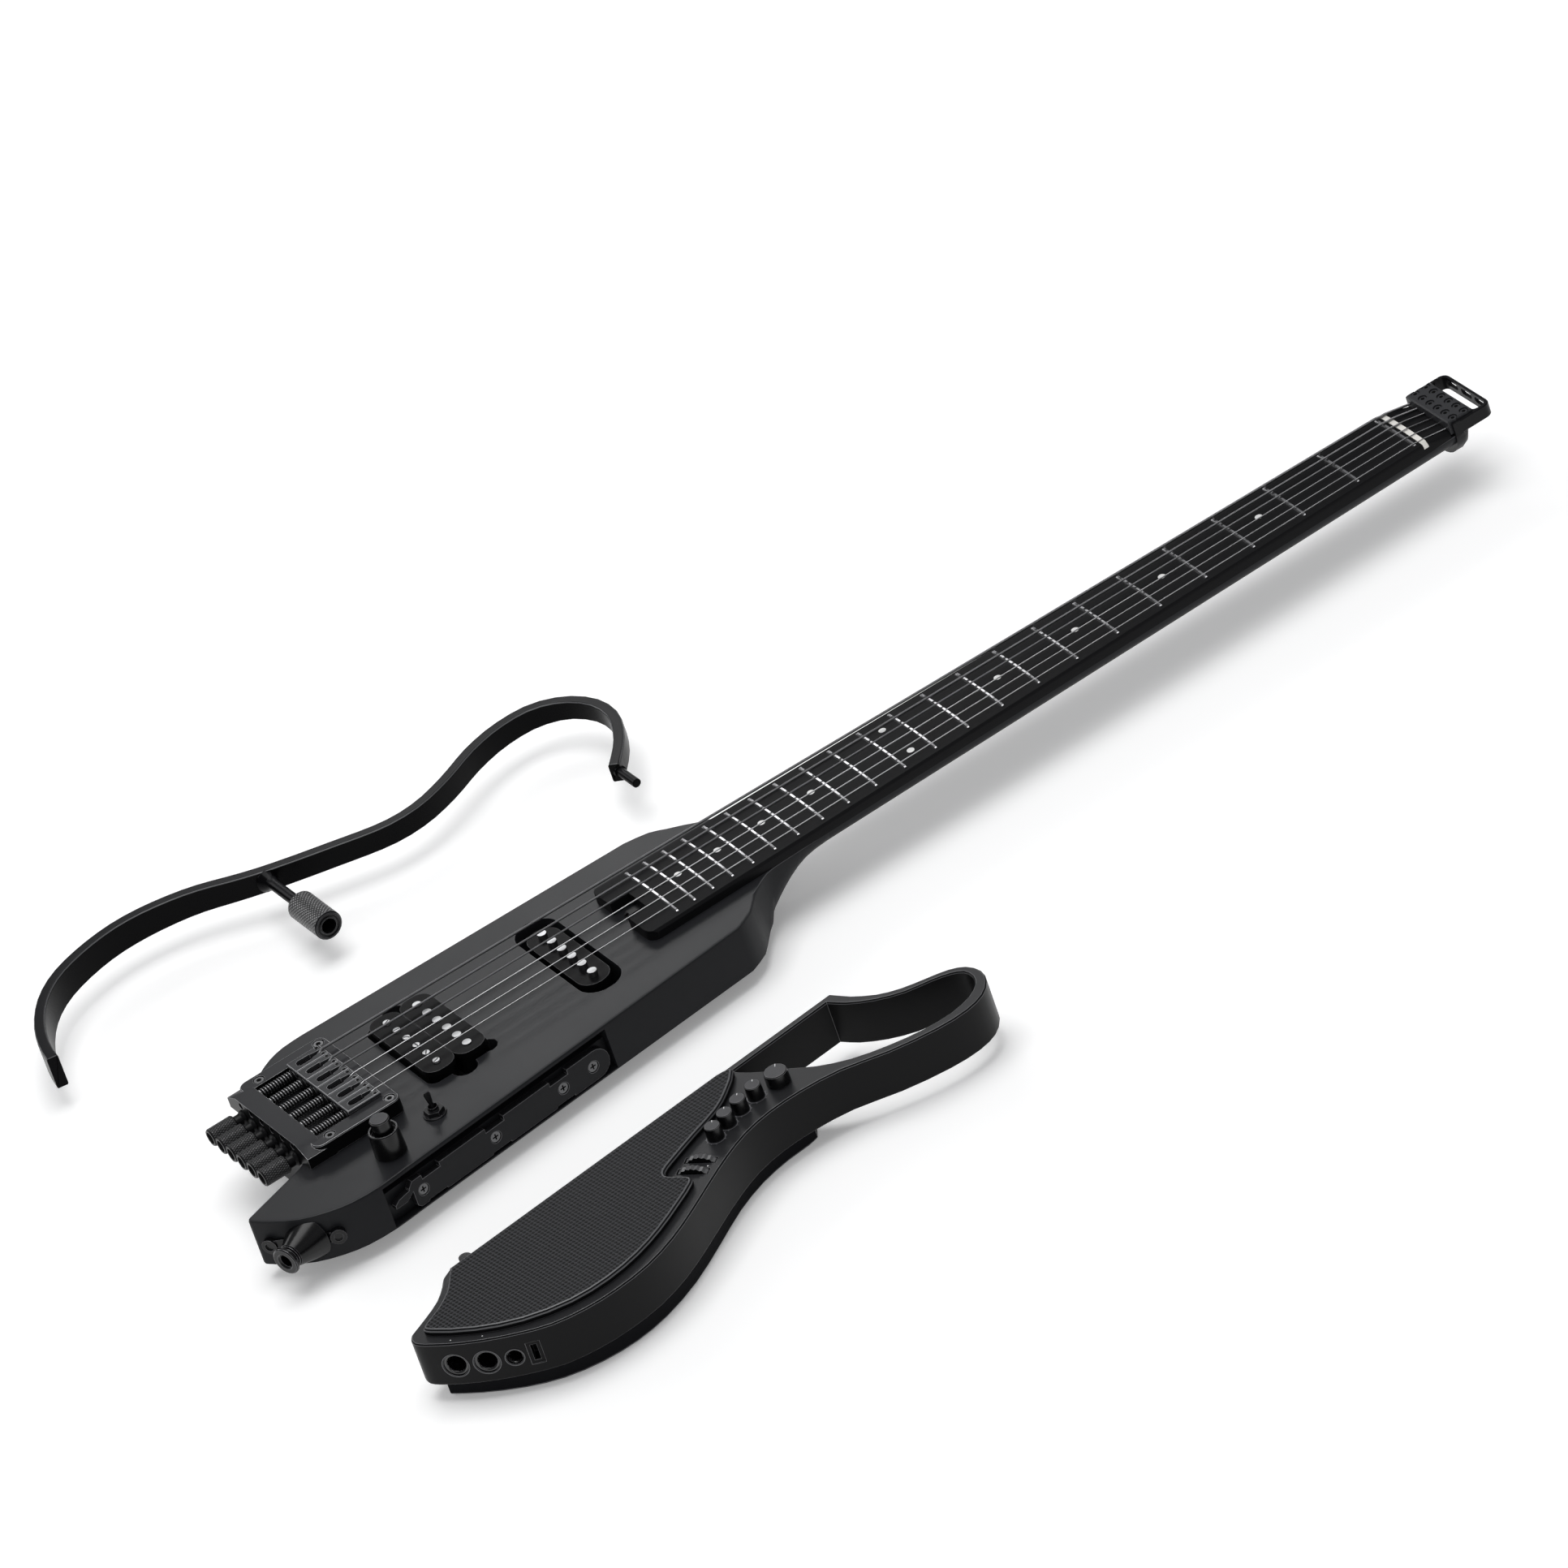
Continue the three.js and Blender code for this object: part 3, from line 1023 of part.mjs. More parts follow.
/** Conical jack housing with two ears on the tail corner of the body. */
function makeJackHousing() {
  const j = JACK;
  const cone = levelCone(j.x, j.y, j.z, j.angle, -j.coneLength, -j.waistLength, j.coneBig, j.coneSmall,
    SIDES.large);
  const nose = levelCone(j.x, j.y, j.z, j.angle, -j.waistLength - 1, -j.waistLength, j.seat, j.seat,
    SIDES.large);
  const trim = block(j.x - OVERCUT * 5, j.x + OVERCUT * 10, j.y - OVERCUT * 6, j.y + OVERCUT * 10,
    BODY_BACK + 1, BODY_TOP - 1);
  const ears = [];
  const sinks = [];
  for (const [place, angle] of [[j.tailEar, j.tailEarAngle], [j.trebleEar, j.trebleEarAngle]]) {
    ears.push(levelCone(place[0], place[1], j.z, angle, -j.earDepth / 4, j.earProud, j.earRadius,
      j.earRadius, SIDES.middle));
    sinks.push(levelCone(place[0], place[1], j.z, angle, j.earProud - j.screwSink, j.earProud + OVERCUT,
      j.screwRadius, j.screwRadius, SIDES.small));
  }
  const webShape = polygon([
    [j.tailEar[0] - 2.6, j.tailEar[1] - 1.8], [j.tailEar[0] + OVERCUT, j.tailEar[1] + OVERCUT],
    [j.trebleEar[0] + OVERCUT, j.trebleEar[1] + OVERCUT],
    [j.trebleEar[0] - 1.2, j.trebleEar[1] - 2.6],
  ]);
  const web = plate(webShape, j.z - j.earRadius + 1, j.z + j.earRadius - 1);
  const bore = levelCone(j.x, j.y, j.z, j.angle, -j.coneLength, OVERCUT, j.mouth + 1.4, j.mouth + 1.4,
    SIDES.middle);
  const solid = joined([cone, nose, web, ...ears]).intersect(trim);
  return cut(solid, [bodySlab(BODY_EDGE_ROUND), bore, ...sinks]);
}

/** Strap button that is also the output socket. */
function makeStrapJack() {
  const j = JACK;
  const profile = [
    [0, -j.mouthDepth], [j.mouth + 1.1, -j.mouthDepth], [j.mouth + 1.1, -j.waistLength + 0.2], [j.seat,
      -j.waistLength + 0.2],
    [j.seat, -j.waistLength + 0.8], [j.waist, -j.waistLength + 1.4], [j.waist, -0.8],
    [j.socketRadius - 0.5, -0.2], [j.socketRadius, 0.4],
    [j.socketRadius, j.flange - 0.6], [j.socketRadius - 0.6, j.flange], [j.mouth + 1.2, j.flange],
    [j.mouth, j.flange - 1],
    [j.mouth, -j.mouthDepth + 2], [0, -j.mouthDepth + 2],
  ];
  const geometry = turned(profile, SIDES.large);
  geometry.rotateZ(-QUARTER_TURN);
  geometry.rotateZ(j.angle);
  geometry.translate(j.x, j.y, j.z);
  return toSolid(geometry);
}

/** Outer ring of the stacked knob, cup-shaped at the top. */
function makeVolumeRing() {
  const k = STACK;
  const low = BODY_TOP + BORE_GAP;
  const bore = k.shaftRadius + BORE_GAP;
  const profile = [
    [0, BODY_TOP - k.sleeveDepth], [k.sleeveRadius, BODY_TOP - k.sleeveDepth], [k.sleeveRadius, low],
    [k.ringBaseRadius, low],
    [k.ringBaseRadius, low + 1], [k.ringTopRadius, k.ringTop - 0.5], [k.ringTopRadius - 0.4, k.ringTop],
    [k.ringTopRadius - k.cupWall, k.ringTop], [k.ringTopRadius - k.cupWall, k.ringTop - k.cupDepth],
    [0, k.ringTop - k.cupDepth],
  ];
  const hole = upright(k.x, k.y, BODY_TOP - k.sleeveDepth - 1, k.ringTop, bore, bore, SIDES.middle);
  return turnedZ(profile, SIDES.large, k.x, k.y).subtract(hole);
}

/** Inner knob of the stack with its shaft. */
function makeToneKnob() {
  const k = STACK;
  const low = k.ringTop - k.cupDepth + BORE_GAP;
  const profile = [
    [0, BODY_TOP - k.shaftDepth], [k.shaftRadius, BODY_TOP - k.shaftDepth], [k.shaftRadius, low],
    [k.knobRadius, low],
    [k.knobRadius, k.knobTop - k.knobEdge], [k.knobRadius - k.knobEdge, k.knobTop], [0, k.knobTop],
  ];
  return turnedZ(profile, SIDES.large, k.x, k.y);
}

/** Washer, hex nut and threaded collar of the switch in one piece. */
function makeSwitchCollar() {
  const w = SWITCH;
  const washer = upright(w.x, w.y, BODY_TOP, BODY_TOP + w.washer, w.washerRadius, w.washerRadius - 0.3,
    SIDES.large);
  const nut = upright(w.x, w.y, BODY_TOP + w.washer - 0.2, BODY_TOP + w.washer + w.nut, w.nutRadius,
    w.nutRadius - 0.4, 6);
  const collarTop = BODY_TOP + w.washer + w.nut + w.collarTop;
  const collar = upright(w.x, w.y, BODY_TOP - w.stemDepth, collarTop, w.collarRadius - 0.1,
    w.collarRadius - 0.3, SIDES.middle);
  const bore = upright(w.x, w.y, collarTop - w.bore, collarTop + 1, w.boreRadius, w.boreRadius + 0.6,
    SIDES.middle);
  return cut(joined([washer, nut, collar]), [bore]);
}

/** Flattened lever of the switch, leaning to the strings at rest. */
function makeSwitchLever() {
  const w = SWITCH;
  const height = w.leverTip - w.leverBase;
  const ring = (z, halfX, halfY) => {
    const points = [];
    for (let i = 0; i < SIDES.small; i += 1) {
      const turn = (FULL_TURN * i) / SIDES.small;
      points.push(new THREE.Vector3(Math.cos(turn) * halfX, Math.sin(turn) * halfY, z));
    }
    return points;
  };
  const rings = [
    ring(-0.2, w.leverRadius, w.leverRadius), ring(height * 0.35, w.leverRadius, w.leverRadius),
    ring(height * 0.6, w.tipHalfWidth * 0.85, w.leverRadius), ring(height - 1, w.tipHalfWidth,
      w.tipHalfThick),
    ring(height, w.tipHalfWidth * 0.7, w.tipHalfThick * 0.7),
  ];
  const geometry = toGeometry(skin(rings));
  geometry.rotateX(-w.lean);
  geometry.translate(w.x, w.y, w.leverBase);
  return toSolid(geometry);
}

/** Ring of the frame bar across its middle line. */
function barRing(point, tangent, halfWidth, halfHeight) {
  const side = new THREE.Vector3(-tangent.y, tangent.x, 0);
  const { round } = FRAME;
  const cornersOut = [
    [halfWidth, halfHeight - round], [halfWidth - round * 0.3, halfHeight - round * 0.3],
    [halfWidth - round, halfHeight],
    [round - halfWidth, halfHeight], [round * 0.3 - halfWidth, halfHeight - round * 0.3], [-halfWidth,
      halfHeight - round],
    [-halfWidth, round - halfHeight], [round * 0.3 - halfWidth, round * 0.3 - halfHeight],
    [round - halfWidth, -halfHeight],
    [halfWidth - round, -halfHeight], [halfWidth - round * 0.3, round * 0.3 - halfHeight], [halfWidth,
      round - halfHeight],
  ];
  return cornersOut.map(([across, up]) => point.clone().addScaledVector(side,
    across).add(new THREE.Vector3(0, 0, up)));
}

/** Bent bar of the upper frame with its post and its pin. */
function makeFrameBar() {
  const f = FRAME;
  const curve = new THREE.CatmullRomCurve3(
    FRAME_LINE.map(([x, y, height]) => new THREE.Vector3(x, y, height)), false, 'centripetal');
  const rings = [];
  for (let i = 0; i <= f.steps; i += 1) {
    const point = curve.getPointAt(i / f.steps);
    const tangent = curve.getTangentAt(i / f.steps).setZ(0).normalize();
    const halfHeight = point.z / 2;
    rings.push(barRing(point.setZ(f.z), tangent, f.halfWidth, halfHeight));
  }
  const post = turnedY([
    [0, f.postEnd], [f.postRadius, f.postEnd], [f.postRadius, f.postTop - f.flareLength],
    [f.postRadius + 0.8, f.postTop - f.flareLength * 0.5],
    [f.flareRadius, f.postTop], [f.flareRadius, f.postTop + 1], [0, f.postTop + 1],
  ], SIDES.middle, f.postX, f.z);
  const pin = turnedY([
    [0, f.pinEnd], [f.pinRadius - 0.5, f.pinEnd], [f.pinRadius, f.pinEnd + 0.5], [f.pinRadius,
      f.pinTop - f.pinRingLength],
    [f.pinRing, f.pinTop - f.pinRingLength], [f.pinRing, f.pinTop], [0, f.pinTop],
  ], SIDES.middle, f.pinX, f.z);
  return joined([skin(rings), post, pin]);
}

/** Knurled hollow thumb nut on the post. */
function makeThumbNut() {
  const t = THUMB;
  const profile = [
    [0, t.front + t.mouthDepth], [t.mouthRadius, t.front + t.mouthDepth], [t.mouthRadius, t.front],
    [t.grooveInner, t.front],
    [t.grooveInner, t.front + t.grooveDepth], [t.grooveOuter, t.front + t.grooveDepth], [t.grooveOuter,
      t.front],
    [t.radius - t.edge, t.front], [t.radius, t.front + t.edge], [t.radius, t.rear - t.edge],
    [t.radius - t.edge, t.rear], [0, t.rear],
  ];
  const bore = alongY(FRAME.postX, FRAME.postEnd - BORE_GAP, t.rear + 1, FRAME.z, t.rearBore, SIDES.middle);
  return turnedY(profile, SIDES.knurl, FRAME.postX, FRAME.z).subtract(bore);
}

/** Height along y of the module's mating edge at a place along x. */
function mateY(x) {
  return MODULE_MATE.y + (x - MODULE_MATE.x) * Math.tan(DOCK_ANGLE);
}

/** Outline of the speaker module. */
function moduleOutline() {
  const m = MODULE_MATE;
  return [
    [m.tail, mateY(m.tail)], [m.head, mateY(m.head)], ...smooth(MODULE_OUTLINE.handle),
    ...smooth(MODULE_OUTLINE.tailNose).slice(1),
    ...smooth(MODULE_OUTLINE.tailCurve).slice(1, -1),
  ];
}

/** Direction that looks out of the module's end wall at a socket. */
function socketAngle(x, y) {
  const run = MODULE_OUTLINE.handle;
  const gaps = run.map(([px, py]) => Math.hypot(px - x, py - y));
  const secondNearest = [...gaps].sort((a, b) => a - b)[1];
  const reach = Math.max(SOCKET_LOOK, secondNearest + WELD_DISTANCE);
  const near = run.filter((point, index) => gaps[index] < reach);
  const first = near[0];
  const last = near[near.length - 1];
  return Math.atan2(last[1] - first[1], last[0] - first[0]) + QUARTER_TURN;
}

/** Slot tool through the top of the module and pit for one thumbwheel. */
function wheelRoom(x, y) {
  const w = WHEEL;
  const room = w.halfThickness + BORE_GAP * 2;
  const place = (geometry) => {
    geometry.rotateZ(w.angle);
    geometry.translate(x, y, 0);
    return toSolid(geometry);
  };
  const slot = new THREE.BoxGeometry(2 * w.slotHalf, 2 * room, -w.pitTop + OVERCUT * 2);
  slot.translate(0, 0, w.pitTop / 2 - 1);
  const pit = new THREE.BoxGeometry(2 * w.pitHalf, 2 * room, w.pitTop - w.pitFloor);
  pit.translate(0, 0, (w.pitTop + w.pitFloor) / 2);
  const axle = new THREE.CylinderGeometry(w.axleRadius + BORE_GAP, w.axleRadius + BORE_GAP,
    2 * w.axleHalf + BORE_GAP, SIDES.small);
  axle.translate(0, 0, w.centreZ);
  return joined([place(slot), place(pit), place(axle)]);
}

/** Speaker housing with the handle in one piece. */
function makeHousing() {
  const low = BODY_TOP - MODULE_THICKNESS;
  const shape = polygon(moduleOutline());
  shape.holes.push(new THREE.Path(smooth(HANDLE_OPENING).map(([x, y]) => new THREE.Vector2(x, y))));
  const reach = BODY_TOP - low;
  const above = block(MODULE_FIELD.low, 0, MODULE_FIELD.low, 0, MODULE_SEAM, OVERCUT);
  const upper = plate(shape, BODY_TOP - reach, BODY_TOP, MODULE_EDGE).intersect(above);
  const lower = plate(shape, low, low + reach, MODULE_LOWER_EDGE, BODY_EDGE_STEPS).subtract(above);
  const body = upper.add(lower);
  const tools = [upright(DRIVER.x, DRIVER.y, DRIVER.pocketFloor, OVERCUT, DRIVER.pocketRadius,
    DRIVER.pocketRadius, SIDES.large)];
  for (const [x, y] of AMP_KNOBS) {
    tools.push(upright(x, y, BODY_TOP - AMP_KNOB.shaftDepth - BORE_GAP, OVERCUT,
      AMP_KNOB.shaftRadius + BORE_GAP, AMP_KNOB.shaftRadius + BORE_GAP, SIDES.small));
  }
  tools.push(upright(
    MASTER_KNOB.x, MASTER_KNOB.y, BODY_TOP - MASTER_KNOB.shaftDepth - BORE_GAP, OVERCUT,
    MASTER_KNOB.shaftRadius + BORE_GAP,
    MASTER_KNOB.shaftRadius + BORE_GAP, SIDES.small));
  for (const [x, y] of WHEELS) {
    tools.push(wheelRoom(x, y));
  }
  for (const socket of SOCKETS) {
    const angle = socketAngle(socket.x, socket.y);
    tools.push(levelCone(socket.x, socket.y, SOCKET_Z, angle, -SOCKET_SINK - 1, OVERCUT,
      socket.outer - 0.6, socket.outer, SIDES.middle));
    tools.push(levelCone(socket.x, socket.y, SOCKET_Z, angle, -socket.depth, OVERCUT, socket.radius,
      socket.radius, SIDES.middle));
  }
  const usbAngle = socketAngle(USB.x, USB.y);
  const usbPlace = (geometry, depth) => {
    geometry.translate(OVERCUT / 2 - depth / 2, 0, 0);
    geometry.rotateZ(usbAngle);
    geometry.translate(USB.x, USB.y, SOCKET_Z);
    return toSolid(geometry);
  };
  tools.push(usbPlace(new THREE.BoxGeometry(OVERCUT + USB.sink, 2 * USB.halfWidth, 2 * USB.halfHeight),
    USB.sink));
  tools.push(usbPlace(new THREE.BoxGeometry(OVERCUT + USB.depth, 2 * USB.slotHalf, 2 * USB.slotHeight),
    USB.depth));
  tools.push(latchBox(BORE_GAP, LATCH.room, OVERCUT));
  return cut(body, tools);
}

/** Box of the latch, widened by a gap; depth into the module and reach out of it. */
function latchBox(gap, depth, reach) {
  const geometry = new THREE.BoxGeometry(2 * (LATCH.halfWidth + gap), depth + reach,
    2 * (LATCH.halfHeight + gap));
  geometry.translate(0, (reach - depth) / 2, 0);
  geometry.rotateZ(DOCK_ANGLE);
  geometry.translate(LATCH.x, mateY(LATCH.x), LATCH.z);
  return toSolid(geometry);
}

/** Spring-loaded latch that stands out of the mating edge. */
function makeLatch() {
  const tip = new THREE.CylinderGeometry(LATCH.halfWidth, LATCH.halfWidth, 2 * LATCH.halfHeight,
    SIDES.middle);
  tip.rotateX(QUARTER_TURN);
  tip.translate(0, LATCH.proud - LATCH.halfWidth, 0);
  tip.rotateZ(DOCK_ANGLE);
  tip.translate(LATCH.x, mateY(LATCH.x), LATCH.z);
  return latchBox(0, LATCH.tail, LATCH.proud - LATCH.halfWidth).add(toSolid(tip));
}

/** Raised grille with sloping rim. */
function makeGrille() {
  const thick = plate(polygon(smooth(GRILLE_OUTLINE)), GRILLE.z - GRILLE.height, GRILLE.z + GRILLE.height,
    GRILLE.slope);
  const lower = block(MODULE_FIELD.low, 0, MODULE_FIELD.low, 0, GRILLE.z - GRILLE.height * 2, GRILLE.z);
  return thick.subtract(lower);
}

/** Lower pad under the housing. */
function makePad() {
  const low = BODY_TOP - MODULE_THICKNESS - PAD_THICKNESS;
  const thick = plate(polygon([...smooth(PAD_OUTLINE), ...PAD_HIDDEN_SIDE]), low, low + 2 * PAD_THICKNESS,
    PAD_EDGE);
  const upper = block(MODULE_FIELD.low, 0, MODULE_FIELD.low, 0, low + PAD_THICKNESS, OVERCUT);
  return thick.subtract(upper);
}

/** Round speaker under the grille. */
function makeDriver() {
  const d = DRIVER;
  const profile = [
    [0, d.magnetBottom], [d.magnetRadius, d.magnetBottom], [d.magnetRadius, d.neckZ],
    [d.basketRadius - d.basketRim, d.rimTop - 3],
    [d.basketRadius, d.rimTop - 3], [d.basketRadius, d.rimTop], [d.coneRadius, d.rimTop], [d.capRadius,
      d.rimTop - d.coneDepth],
    [d.capRadius * 0.6, d.rimTop - d.coneDepth + d.capRise], [0, d.rimTop - d.coneDepth + d.capRise + 1],
  ];
  return turnedZ(profile, SIDES.large, d.x, d.y);
}

/** Small or large knob of the module with its shaft. */
function makeKnob(x, y, knob) {
  const low = BODY_TOP + knob.lift;
  const profile = [
    [0, BODY_TOP - knob.shaftDepth], [knob.shaftRadius, BODY_TOP - knob.shaftDepth], [knob.shaftRadius,
      low], [knob.baseRadius, low],
    [knob.radius, knob.top - knob.edge], [knob.radius - knob.edge, knob.top], [0, knob.top],
  ];
  return turnedZ(profile, SIDES.middle, x, y);
}

/** Toothed thumbwheel lying on its side with a short axle. */
function makeWheel(x, y) {
  const w = WHEEL;
  const shape = new THREE.Shape();
  for (let i = 0; i < w.teeth * 2; i += 1) {
    const turn = (FULL_TURN * i) / (w.teeth * 2);
    const radius = i % 2 === 0 ? w.radius : w.radius - w.toothDepth;
    if (i === 0) {
      shape.moveTo(Math.cos(turn) * radius, Math.sin(turn) * radius);
    } else {
      shape.lineTo(Math.cos(turn) * radius, Math.sin(turn) * radius);
    }
  }
  const disc = new THREE.ExtrudeGeometry(shape, { depth: 2 * w.halfThickness, bevelEnabled: false });
  disc.translate(0, 0, -w.halfThickness);
  disc.rotateX(QUARTER_TURN);
  const axle = new THREE.CylinderGeometry(w.axleRadius, w.axleRadius, 2 * w.axleHalf, SIDES.small);
  return joined([disc, axle].map((geometry) => {
    geometry.translate(0, 0, w.centreZ);
    geometry.rotateZ(w.angle);
    geometry.translate(x, y, 0);
    return toSolid(geometry);
  }));
}

/** Playing body with everything that is fixed to it. */
function makeGuitar() {
  const group = new THREE.Group();
  group.name = 'guitar';
  group.add(named('body_and_neck', makeBody(), COLOURS.body));
  group.add(named('fingerboard', makeFingerboard(), COLOURS.board));
  group.add(named('string_guide', makeStringGuide(), COLOURS.bone));
  group.add(named('truss_rod_nut', makeTrussNut(), COLOURS.steel, 0.9, 0.3));
  group.add(named('head_frame', makeHeadFrame(), COLOURS.hardware, 0.7));
  group.add(named('clamp_block', makeClampBlock(), COLOURS.hardware, 0.7));
  group.add(named('neck_pickup', makeNeckPickup(), COLOURS.plastic));
  group.add(named('slug_coil', makeBridgeCoil(1, false), COLOURS.plastic));
  group.add(named('screw_coil', makeBridgeCoil(-1, true), COLOURS.plastic));
  group.add(named('pickup_plate', makeBridgePickupPlate(), COLOURS.steel, 0.9));
  group.add(named('bridge_base', makeBridgeBase(), COLOURS.hardware, 0.7));
  for (let i = 0; i < STRING_COUNT; i += 1) {
    const number = i + 1;
    group.add(named(`saddle_${number}`, makeSaddle(i), COLOURS.hardware, 0.7));
    group.add(named(`puller_${number}`, makePuller(i), COLOURS.steel, 0.8));
    group.add(named(`tuner_${number}`, makeTuner(i), COLOURS.hardware, 0.7));
    group.add(named(`string_${number}`, makeString(i), COLOURS.wire, 0.9, 0.3));
  }
  group.add(named('dock_rail', makeRail(), COLOURS.rail));
  for (let i = 0; i < RAIL.screwS.length; i += 1) {
    group.add(named(`rail_screw_${i + 1}`, makeRailScrew(i), COLOURS.steel, 0.9));
  }
  group.add(named('jack_housing', makeJackHousing(), COLOURS.hardware, 0.5));
  group.add(named('strap_jack', makeStrapJack(), COLOURS.hardware, 0.8));
  group.add(named('volume_ring', makeVolumeRing(), COLOURS.plastic));
  group.add(named('tone_knob', makeToneKnob(), COLOURS.plastic));
  group.add(named('switch_collar', makeSwitchCollar(), COLOURS.hardware, 0.8));
  group.add(named('switch_lever', makeSwitchLever(), COLOURS.hardware, 0.8));
  return group;
}

/** Clip-on upper frame. */
function makeUpperFrame() {
  const group = new THREE.Group();
  group.name = 'upper_frame';
  group.add(named('frame_bar', makeFrameBar(), COLOURS.hardware, 0.5));
  group.add(named('thumb_nut', makeThumbNut(), COLOURS.hardware, 0.8));
  return group;
}

/** Clip-on speaker module. */
function makeSpeakerModule() {
  const group = new THREE.Group();
  group.name = 'speaker_module';
  group.add(named('speaker_housing', makeHousing(), COLOURS.body));
  group.add(named('speaker_grille', makeGrille(), COLOURS.grille, 0.6));
  group.add(named('lower_pad', makePad(), COLOURS.pad));
  group.add(named('speaker_driver', makeDriver(), COLOURS.paper));
  AMP_KNOBS.forEach(([x, y], i) => {
    group.add(named(`amp_knob_${i + 1}`, makeKnob(x, y, AMP_KNOB), COLOURS.plastic));
  });
  group.add(named('master_knob', makeKnob(MASTER_KNOB.x, MASTER_KNOB.y, MASTER_KNOB), COLOURS.plastic));
  WHEELS.forEach(([x, y], i) => {
    group.add(named(`thumbwheel_${i + 1}`, makeWheel(x, y), COLOURS.plastic));
  });
  group.add(named('dock_latch', makeLatch(), COLOURS.plastic));
  return group;
}

const part = new THREE.Group();
part.name = 'travel_guitar';
part.add(makeGuitar(), makeUpperFrame(), makeSpeakerModule());
part.position.set(-ORIGIN.x, -ORIGIN.y, -ORIGIN.z);
part.updateMatrixWorld(true);

export default part;
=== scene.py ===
"""Looks of the headless travel guitar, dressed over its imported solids.

Sizes are in millimetres in the string frame: x from the zero fret to the head, y from the middle
line to the bass side and z from the crown of the board out of the playing face. at() brings them
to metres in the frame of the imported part. The finishes and the studio are in metres.
"""
from __future__ import annotations

import logging
import math
from dataclasses import dataclass, field
from enum import Enum
from functools import cache, cached_property
from typing import Callable, Sequence

import bmesh
import bpy
from mathutils import Matrix, Vector

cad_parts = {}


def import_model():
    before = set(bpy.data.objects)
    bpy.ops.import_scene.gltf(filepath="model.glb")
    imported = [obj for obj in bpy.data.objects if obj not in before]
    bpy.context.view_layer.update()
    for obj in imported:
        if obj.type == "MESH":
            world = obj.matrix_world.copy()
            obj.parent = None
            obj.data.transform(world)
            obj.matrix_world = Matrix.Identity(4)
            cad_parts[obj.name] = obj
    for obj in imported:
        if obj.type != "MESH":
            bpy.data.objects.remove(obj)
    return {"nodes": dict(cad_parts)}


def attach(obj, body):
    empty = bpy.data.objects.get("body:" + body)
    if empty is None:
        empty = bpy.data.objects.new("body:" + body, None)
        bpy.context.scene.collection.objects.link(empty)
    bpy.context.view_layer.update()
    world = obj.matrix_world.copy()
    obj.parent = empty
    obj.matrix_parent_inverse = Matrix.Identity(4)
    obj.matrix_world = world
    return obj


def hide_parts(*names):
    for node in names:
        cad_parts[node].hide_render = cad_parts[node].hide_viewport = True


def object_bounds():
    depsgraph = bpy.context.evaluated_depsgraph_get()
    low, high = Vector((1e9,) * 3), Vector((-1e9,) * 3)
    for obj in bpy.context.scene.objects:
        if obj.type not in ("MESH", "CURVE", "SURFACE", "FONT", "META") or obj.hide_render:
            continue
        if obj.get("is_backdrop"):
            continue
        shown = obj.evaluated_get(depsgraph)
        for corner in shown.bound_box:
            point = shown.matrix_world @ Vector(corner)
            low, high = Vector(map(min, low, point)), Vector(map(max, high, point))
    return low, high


Tree = bpy.types.NodeTree
Socket = bpy.types.NodeSocket
Outputs = bpy.types.NodeOutputs
Mesh = bmesh.types.BMesh
Face = bmesh.types.BMFace
Edge = bmesh.types.BMEdge
Rule = Callable[[Face], int]
EdgeRule = Callable[[Edge], bool]
Triple = tuple[float, float, float]
Pair = tuple[float, float]

LOG = logging.getLogger("travel_guitar")
MM = 0.001
ORIGIN = Vector((560 * MM, 8 * MM, 35 * MM))
UP = Vector((0, 0, 1))
DOCK_ANGLE = math.radians(6.5)
STRING_COUNT = 6

# Shares of a normal's length that count as level and as straight.
LEVEL = 0.9
STRAIGHT = 0.95

# How a node's mesh is merged, joined, rounded and shaded.
MERGE_WIDTH = 0.002
PLANAR = math.radians(0.4)
SHARP = math.radians(40)
SMOOTH = 35.0
EDGE_STEPS = 2
FACE_WEIGHT = 90

GRAIN_STRENGTH = 0.6

# Numbers of the colour sockets of a Mix node, which share their names with others.
MIX_FIRST, MIX_SECOND, MIX_RESULT = 6, 7, 2
VECTOR, COLOR, FLOAT = "NodeSocketVector", "NodeSocketColor", "NodeSocketFloat"


class Pattern(Enum):
    """Relief that a finish carries on top of its grain."""

    PLAIN = "plain"
    PERFORATED = "perforated"
    THREADED = "threaded"
    KNURLED_TUNER = "knurled tuner"
    KNURLED_NUT = "knurled nut"


def at(x: float, y: float, z: float) -> Vector:
    """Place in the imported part's frame of a place in the string frame."""
    return Vector((x * MM, y * MM, z * MM)) + ORIGIN


def middle_of(face: Face) -> Vector:
    """Middle of a face in the string frame."""
    return (face.calc_center_median() - ORIGIN) / MM


def heading(turn: float) -> Vector:
    """Direction in the playing plane at a turn in radians."""
    return Vector((math.cos(turn), math.sin(turn), 0))


def string_row(pitch: float) -> list[float]:
    """Distances of the six strings from the middle line, from treble to bass."""
    return [(i - (STRING_COUNT - 1) / 2) * pitch for i in range(STRING_COUNT)]


def looks_up(limit: float) -> Rule:
    """Rule that gives finish one to what looks up by more than a limit."""
    return lambda face: int(face.normal.z > limit)


def looks_aside(limit: float) -> Rule:
    """Rule that gives finish one to what looks up by less than a limit."""
    return lambda face: int(face.normal.z < limit)


def to_tail(x: float) -> Rule:
    """Rule that gives finish one to what lies further to the tail."""
    return lambda face: int(middle_of(face).x < x)


def cap_above(height: float) -> Rule:
    """Rule that gives finish one to what is flat on top and lies above a height."""
    limit = ORIGIN.z + height * MM
    return lambda face: int(face.normal.z > STRAIGHT and face.calc_center_median().z > limit)


